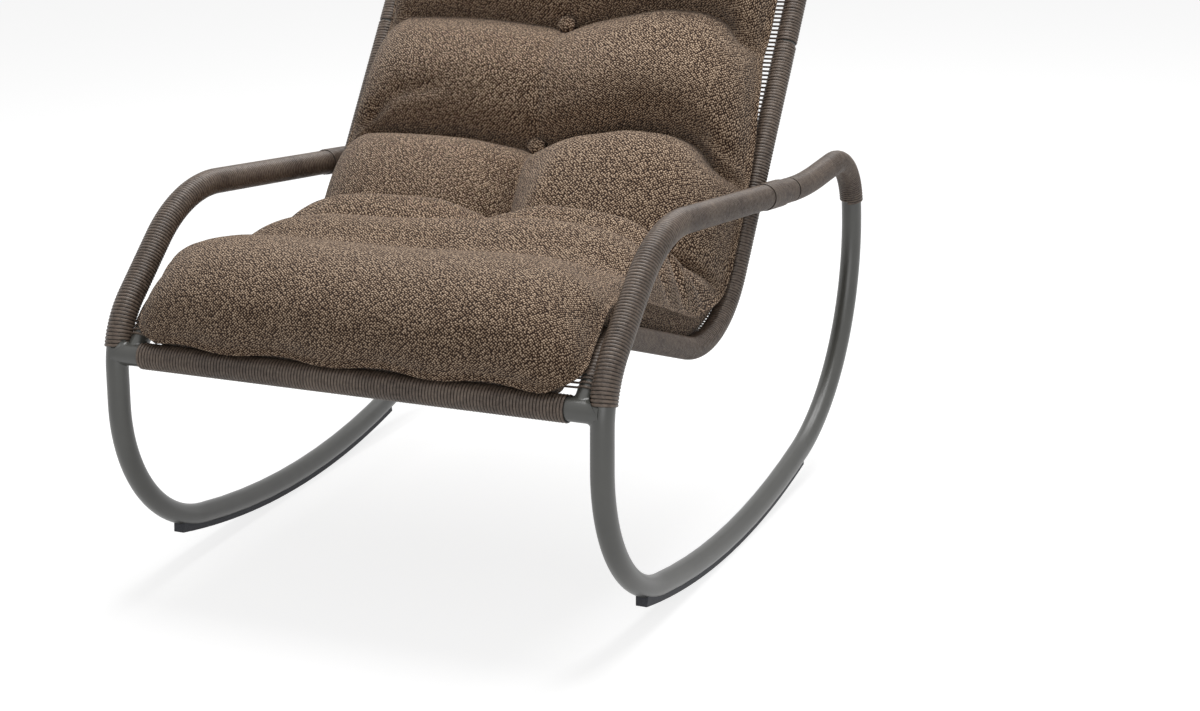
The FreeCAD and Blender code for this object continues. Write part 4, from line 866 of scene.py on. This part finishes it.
class CHAIR_OT_cushion(bpy.types.Operator):
    """One-piece tufted cushion with its sewn lip and covered buttons"""

    bl_idname = "chair.cushion"
    bl_label = "Tufted Cushion"

    def execute(self, context):
        chair, sizes = Chair(context.scene), context.scene.chair_cushion
        line = chair.seat_rail(0.0, extra=chair.rail.top_lead + chair.rail.top_radius)
        rings = len(LIP) - 1
        crowded = [sizes.front] + [crease[0] for crease in CREASES]
        along = spaced(sizes.front, sizes.end, sizes.cell, crowded, 0.016, 2.0)
        over = spaced(-1.0, 1.0, sizes.cell / sizes.half_width, (-0.9, 0.0, 0.9), 0.08, 1.4)
        rows, columns = len(along) - 1 + 2 * rings, len(over) - 1 + 2 * rings
        bm = bmesh.new()
        for level in (1.0, 0.0):
            bmesh.ops.create_grid(bm, x_segments=columns, y_segments=rows, size=0.5,
                                  matrix=Matrix.Translation((0.0, 0.0, level)))
        rim = [vert for vert in bm.verts if vert.is_boundary]
        for vert in rim:
            vert.co.z = 0.5
        bmesh.ops.remove_doubles(bm, verts=rim, dist=1e-6)
        bm.verts.index_update()
        flat = np.array([vert.co for vert in bm.verts])
        layer = flat[:, 2]
        column = np.rint((flat[:, 0] + 0.5) * columns).astype(int)
        row = np.rint((flat[:, 1] + 0.5) * rows).astype(int)
        ring = np.minimum(np.minimum(column, columns - column), np.minimum(row, rows - row))
        out, thick = np.array(LIP)[np.minimum(ring, rings)].T
        seen = along[np.clip(row - rings, 0, len(along) - 1)]
        place = over[np.clip(column - rings, 0, len(over) - 1)]
        wide = half_width_at(seen, sizes)
        across = place * wide
        distance = strayed(seen, across)
        height, pressed, depth = upper_face(seen, distance, across, wide)
        on_top, on_lip = layer > 0.75, ring <= rings
        height = np.where(on_top, height, lower_face(distance, across, wide, sizes))
        height = np.where(on_lip, eased(SEAM, distance) + np.sign(layer - 0.5) * thick, height)
        across = np.where(on_top & ~on_lip, pressed, across)
        # The lip stands out from the seam, and the front seam waves a little where it is sewn.
        across = across + np.where(np.abs(place) == 1.0, np.sign(place) * out, 0.0)
        end_lip = (row <= rings) | (row >= rows - rings)
        distance = distance + np.where(end_lip, np.sign(row - rows / 2) * out, 0.0)
        wave = WAVE * np.cos(2 * math.pi * (across - WAVE_CREST) / WAVE_LENGTH)
        wave *= np.exp(-np.maximum(distance - sizes.front, 0.0) / WAVE_REACH)
        distance = distance + np.where(on_top | on_lip, wave, 0.0)
        places = line.bend(np.column_stack((distance, height, across)))
        # The cloth is cut to the length it covers, so the weave keeps its size on the steep sides.
        sheet = np.zeros((2, rows + 1, columns + 1, 3))
        for level in (0, 1):
            here = (layer > 0.25) if level else (layer < 0.75)
            sheet[level, row[here], column[here]] = places[here]
        cut_over = np.cumsum(np.linalg.norm(np.diff(sheet, axis=2, prepend=sheet[:, :, :1]), axis=3), axis=2)
        cut_over -= cut_over[:, :, columns // 2, None]
        cut_along = np.linalg.norm(np.diff(sheet, axis=1, prepend=sheet[:, :1]), axis=3)
        cut_along = np.cumsum(cut_along[:, :, columns // 4:3 * columns // 4].mean(axis=2), axis=1)
        uv_layer = bm.loops.layers.uv.new("UVMap")
        for face in bm.faces:
            level = int(face.calc_center_median().z > 0.5)
            for corner in face.loops:
                at_row, at_column = row[corner.vert.index], column[corner.vert.index]
                corner[uv_layer].uv = (cut_over[level, at_row, at_column], cut_along[level, at_row])
        for vert, spot in zip(bm.verts, places):
            vert.co = spot
        cloth = melange_cloth(context.scene.chair_colours)
        cushion = add_piece("cushion_cover", bm, cloth, ["cushion"])
        # The underside and the lip are held, and the creases the more the deeper they are.
        hold = np.where(on_top & ~on_lip, np.clip(np.abs(depth) / HELD_DEPTH, 0.0, 1.0), 1.0)
        moved = swollen(cushion.data, hold, sizes.swell, PRESSURE, FRAMES)
        cushion.data.vertices.foreach_set("co", moved.ravel())
        soften = cushion.modifiers.new("soften", "SUBSURF")
        soften.levels = soften.render_levels = 1
        for number, place in enumerate(BUTTONS):
            bm = bmesh.new()
            bmesh.ops.create_uvsphere(bm, u_segments=28, v_segments=14, radius=sizes.button / 2)
            bmesh.ops.scale(bm, verts=bm.verts, vec=(1.0, 0.58, 1.0))
            uv_layer = bm.loops.layers.uv.new("UVMap")
            for face in bm.faces:
                for corner in face.loops:
                    corner[uv_layer].uv = (corner.vert.co.z, corner.vert.co.x)
            bmesh.ops.translate(bm, verts=bm.verts, vec=(place, sizes.button_height, 0.0))
            cover = add_piece("tuft_button_%d" % (number + 1), bm, cloth,
                              ["tuft_buttons"], line)
        return {"FINISHED"}


class CHAIR_OT_fittings(bpy.types.Operator):
    """Finishes of the strips, the screws and the inner sleeves, whose solids are kept"""

    bl_idname = "chair.fittings"
    bl_label = "Strips and Screws"

    def execute(self, context):
        colours = context.scene.chair_colours
        rubber, steel = moulded_rubber(colours), zinc_steel(colours)
        coat = bpy.data.materials["powder_coated_aluminium"]
        for node, material in (("runner_strip_right", rubber), ("runner_strip_left", rubber),
                               ("strip_screws", steel), ("arm_spigots", coat),
                               ("runner_spigots", coat), ("top_spigots", coat)):
            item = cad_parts[node]
            item = bpy.data.objects[item] if isinstance(item, str) else item
            item.data.materials.clear()
            item.data.materials.append(material)
        return {"FINISHED"}


class CHAIR_OT_stage(bpy.types.Operator):
    """Pale floor, soft studio light and the camera"""

    bl_idname = "chair.stage"
    bl_label = "Studio"

    @staticmethod
    def seen_by_eye(sheet):
        """Socket that is 1 for rays from the camera and for mirrored and glass rays."""
        rays = sheet.add("LightPath")
        mirror = sheet.add("Math", {"operation": "MAXIMUM"}, _0=rays.outputs["Is Camera Ray"],
                           _1=rays.outputs["Is Glossy Ray"])
        return sheet.add("Math", {"operation": "MAXIMUM"}, _0=mirror.outputs[0],
                         _1=rays.outputs["Is Transmission Ray"]).outputs[0]

    def execute(self, context):
        scene, chair = context.scene, Chair(context.scene)
        stage, colours = scene.chair_stage, scene.chair_colours
        bm = bmesh.new()
        bmesh.ops.create_grid(bm, x_segments=1, y_segments=1, size=30.0)
        mesh = bpy.data.meshes.new("studio_floor")
        bm.to_mesh(mesh)
        bm.free()
        floor = bpy.data.objects.new("studio_floor", mesh)
        scene.collection.objects.link(floor)
        # Painted studio floor: matt pale grey; camera and mirrors see it lifted to white outside the shadow.
        sheet = NodeSheet(bpy.data.materials.new("painted_studio_floor"))
        seen = self.seen_by_eye(sheet)
        matt = sheet.add("BsdfDiffuse", Color=list(colours.floor))
        glow = sheet.add("Emission", Color=(1.0, 1.0, 1.0, 1.0), Strength=stage.lift)
        lifted = sheet.add("AddShader", _0=matt.outputs[0], _1=glow.outputs[0])
        shown = sheet.add("MixShader", _0=seen, _1=matt.outputs[0], _2=lifted.outputs[0])
        sheet.add("OutputMaterial", Surface=shown.outputs[0])
        mesh.materials.append(sheet.owner)

        scene.world = bpy.data.worlds.new("studio_sky")
        sheet = NodeSheet(scene.world)
        even = sheet.add("Background", Color=(1.0, 1.0, 1.0, 1.0), Strength=stage.sky)
        white = sheet.add("Background", Color=(1.0, 1.0, 1.0, 1.0), Strength=1.0)
        shown = sheet.add("MixShader", _0=self.seen_by_eye(sheet), _1=even.outputs[0], _2=white.outputs[0])
        sheet.add("OutputWorld", Surface=shown.outputs[0])

        for name, power, size, spot, aim in (
                ("overhead_softbox", stage.key, 2.0, (0.1, 0.65, 2.8), (0.0, 0.0, 0.4)),
                ("front_softbox", stage.fill, 1.8, (1.3, -2.8, 1.3), (0.0, 0.0, 0.4))):
            lamp = bpy.data.lights.new(name, "AREA")
            lamp.energy, lamp.size = power, size
            item = bpy.data.objects.new(name, lamp)
            item.matrix_world = Matrix.Translation(spot) \
                @ (Vector(aim) - Vector(spot)).to_track_quat("-Z", "Y").to_matrix().to_4x4()
            scene.collection.objects.link(item)

        data = bpy.data.cameras.new("photo_camera")
        data.lens, data.sensor_width = stage.lens, 36.0
        camera = bpy.data.objects.new("photo_camera", data)
        turn = Matrix.Rotation(-chair.loop.lean, 4, "X") @ Matrix.Rotation(stage.azimuth, 4, "Z") \
            @ Matrix.Rotation(math.pi / 2 - stage.pitch, 4, "X")
        camera.matrix_world = Matrix.Translation(chair.settle(stage.camera)) @ turn
        scene.collection.objects.link(camera)
        scene.camera = camera
        scene.view_settings.view_transform = "Standard"
        return {"FINISHED"}


class CHAIR_PT_panel(bpy.types.Panel):
    """Steps that dress the chair, in order"""

    bl_idname = "CHAIR_PT_panel"
    bl_label = "Rocking Chair"
    bl_space_type = "VIEW_3D"
    bl_region_type = "UI"
    bl_category = "Rocking Chair"

    def draw(self, context):
        for step in STEPS:
            self.layout.operator(step.bl_idname)


GROUPS = {"chair_loop": ChairLoopSizes, "chair_rail": ChairRailSizes, "chair_winding": ChairWindingSizes,
          "chair_cushion": ChairCushionSizes, "chair_colours": ChairColours,
          "chair_stage": ChairStageSettings}
STEPS = (CHAIR_OT_frame, CHAIR_OT_winding, CHAIR_OT_deck, CHAIR_OT_cushion, CHAIR_OT_fittings, CHAIR_OT_stage)


def register():
    for group in GROUPS.values():
        bpy.utils.register_class(group)
    for name, group in GROUPS.items():
        setattr(bpy.types.Scene, name, PointerProperty(type=group))
    for item in STEPS + (CHAIR_PT_panel,):
        bpy.utils.register_class(item)


def unregister():
    for item in reversed(STEPS + (CHAIR_PT_panel,)):
        bpy.utils.unregister_class(item)
    for name in GROUPS:
        delattr(bpy.types.Scene, name)
    for group in reversed(list(GROUPS.values())):
        bpy.utils.unregister_class(group)


def main():
    register()
    bpy.ops.chair.frame()
    bpy.ops.chair.winding()
    bpy.ops.chair.deck()
    bpy.ops.chair.cushion()
    bpy.ops.chair.fittings()
    bpy.ops.chair.stage()
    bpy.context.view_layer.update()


if __name__ == "__main__":
    main()
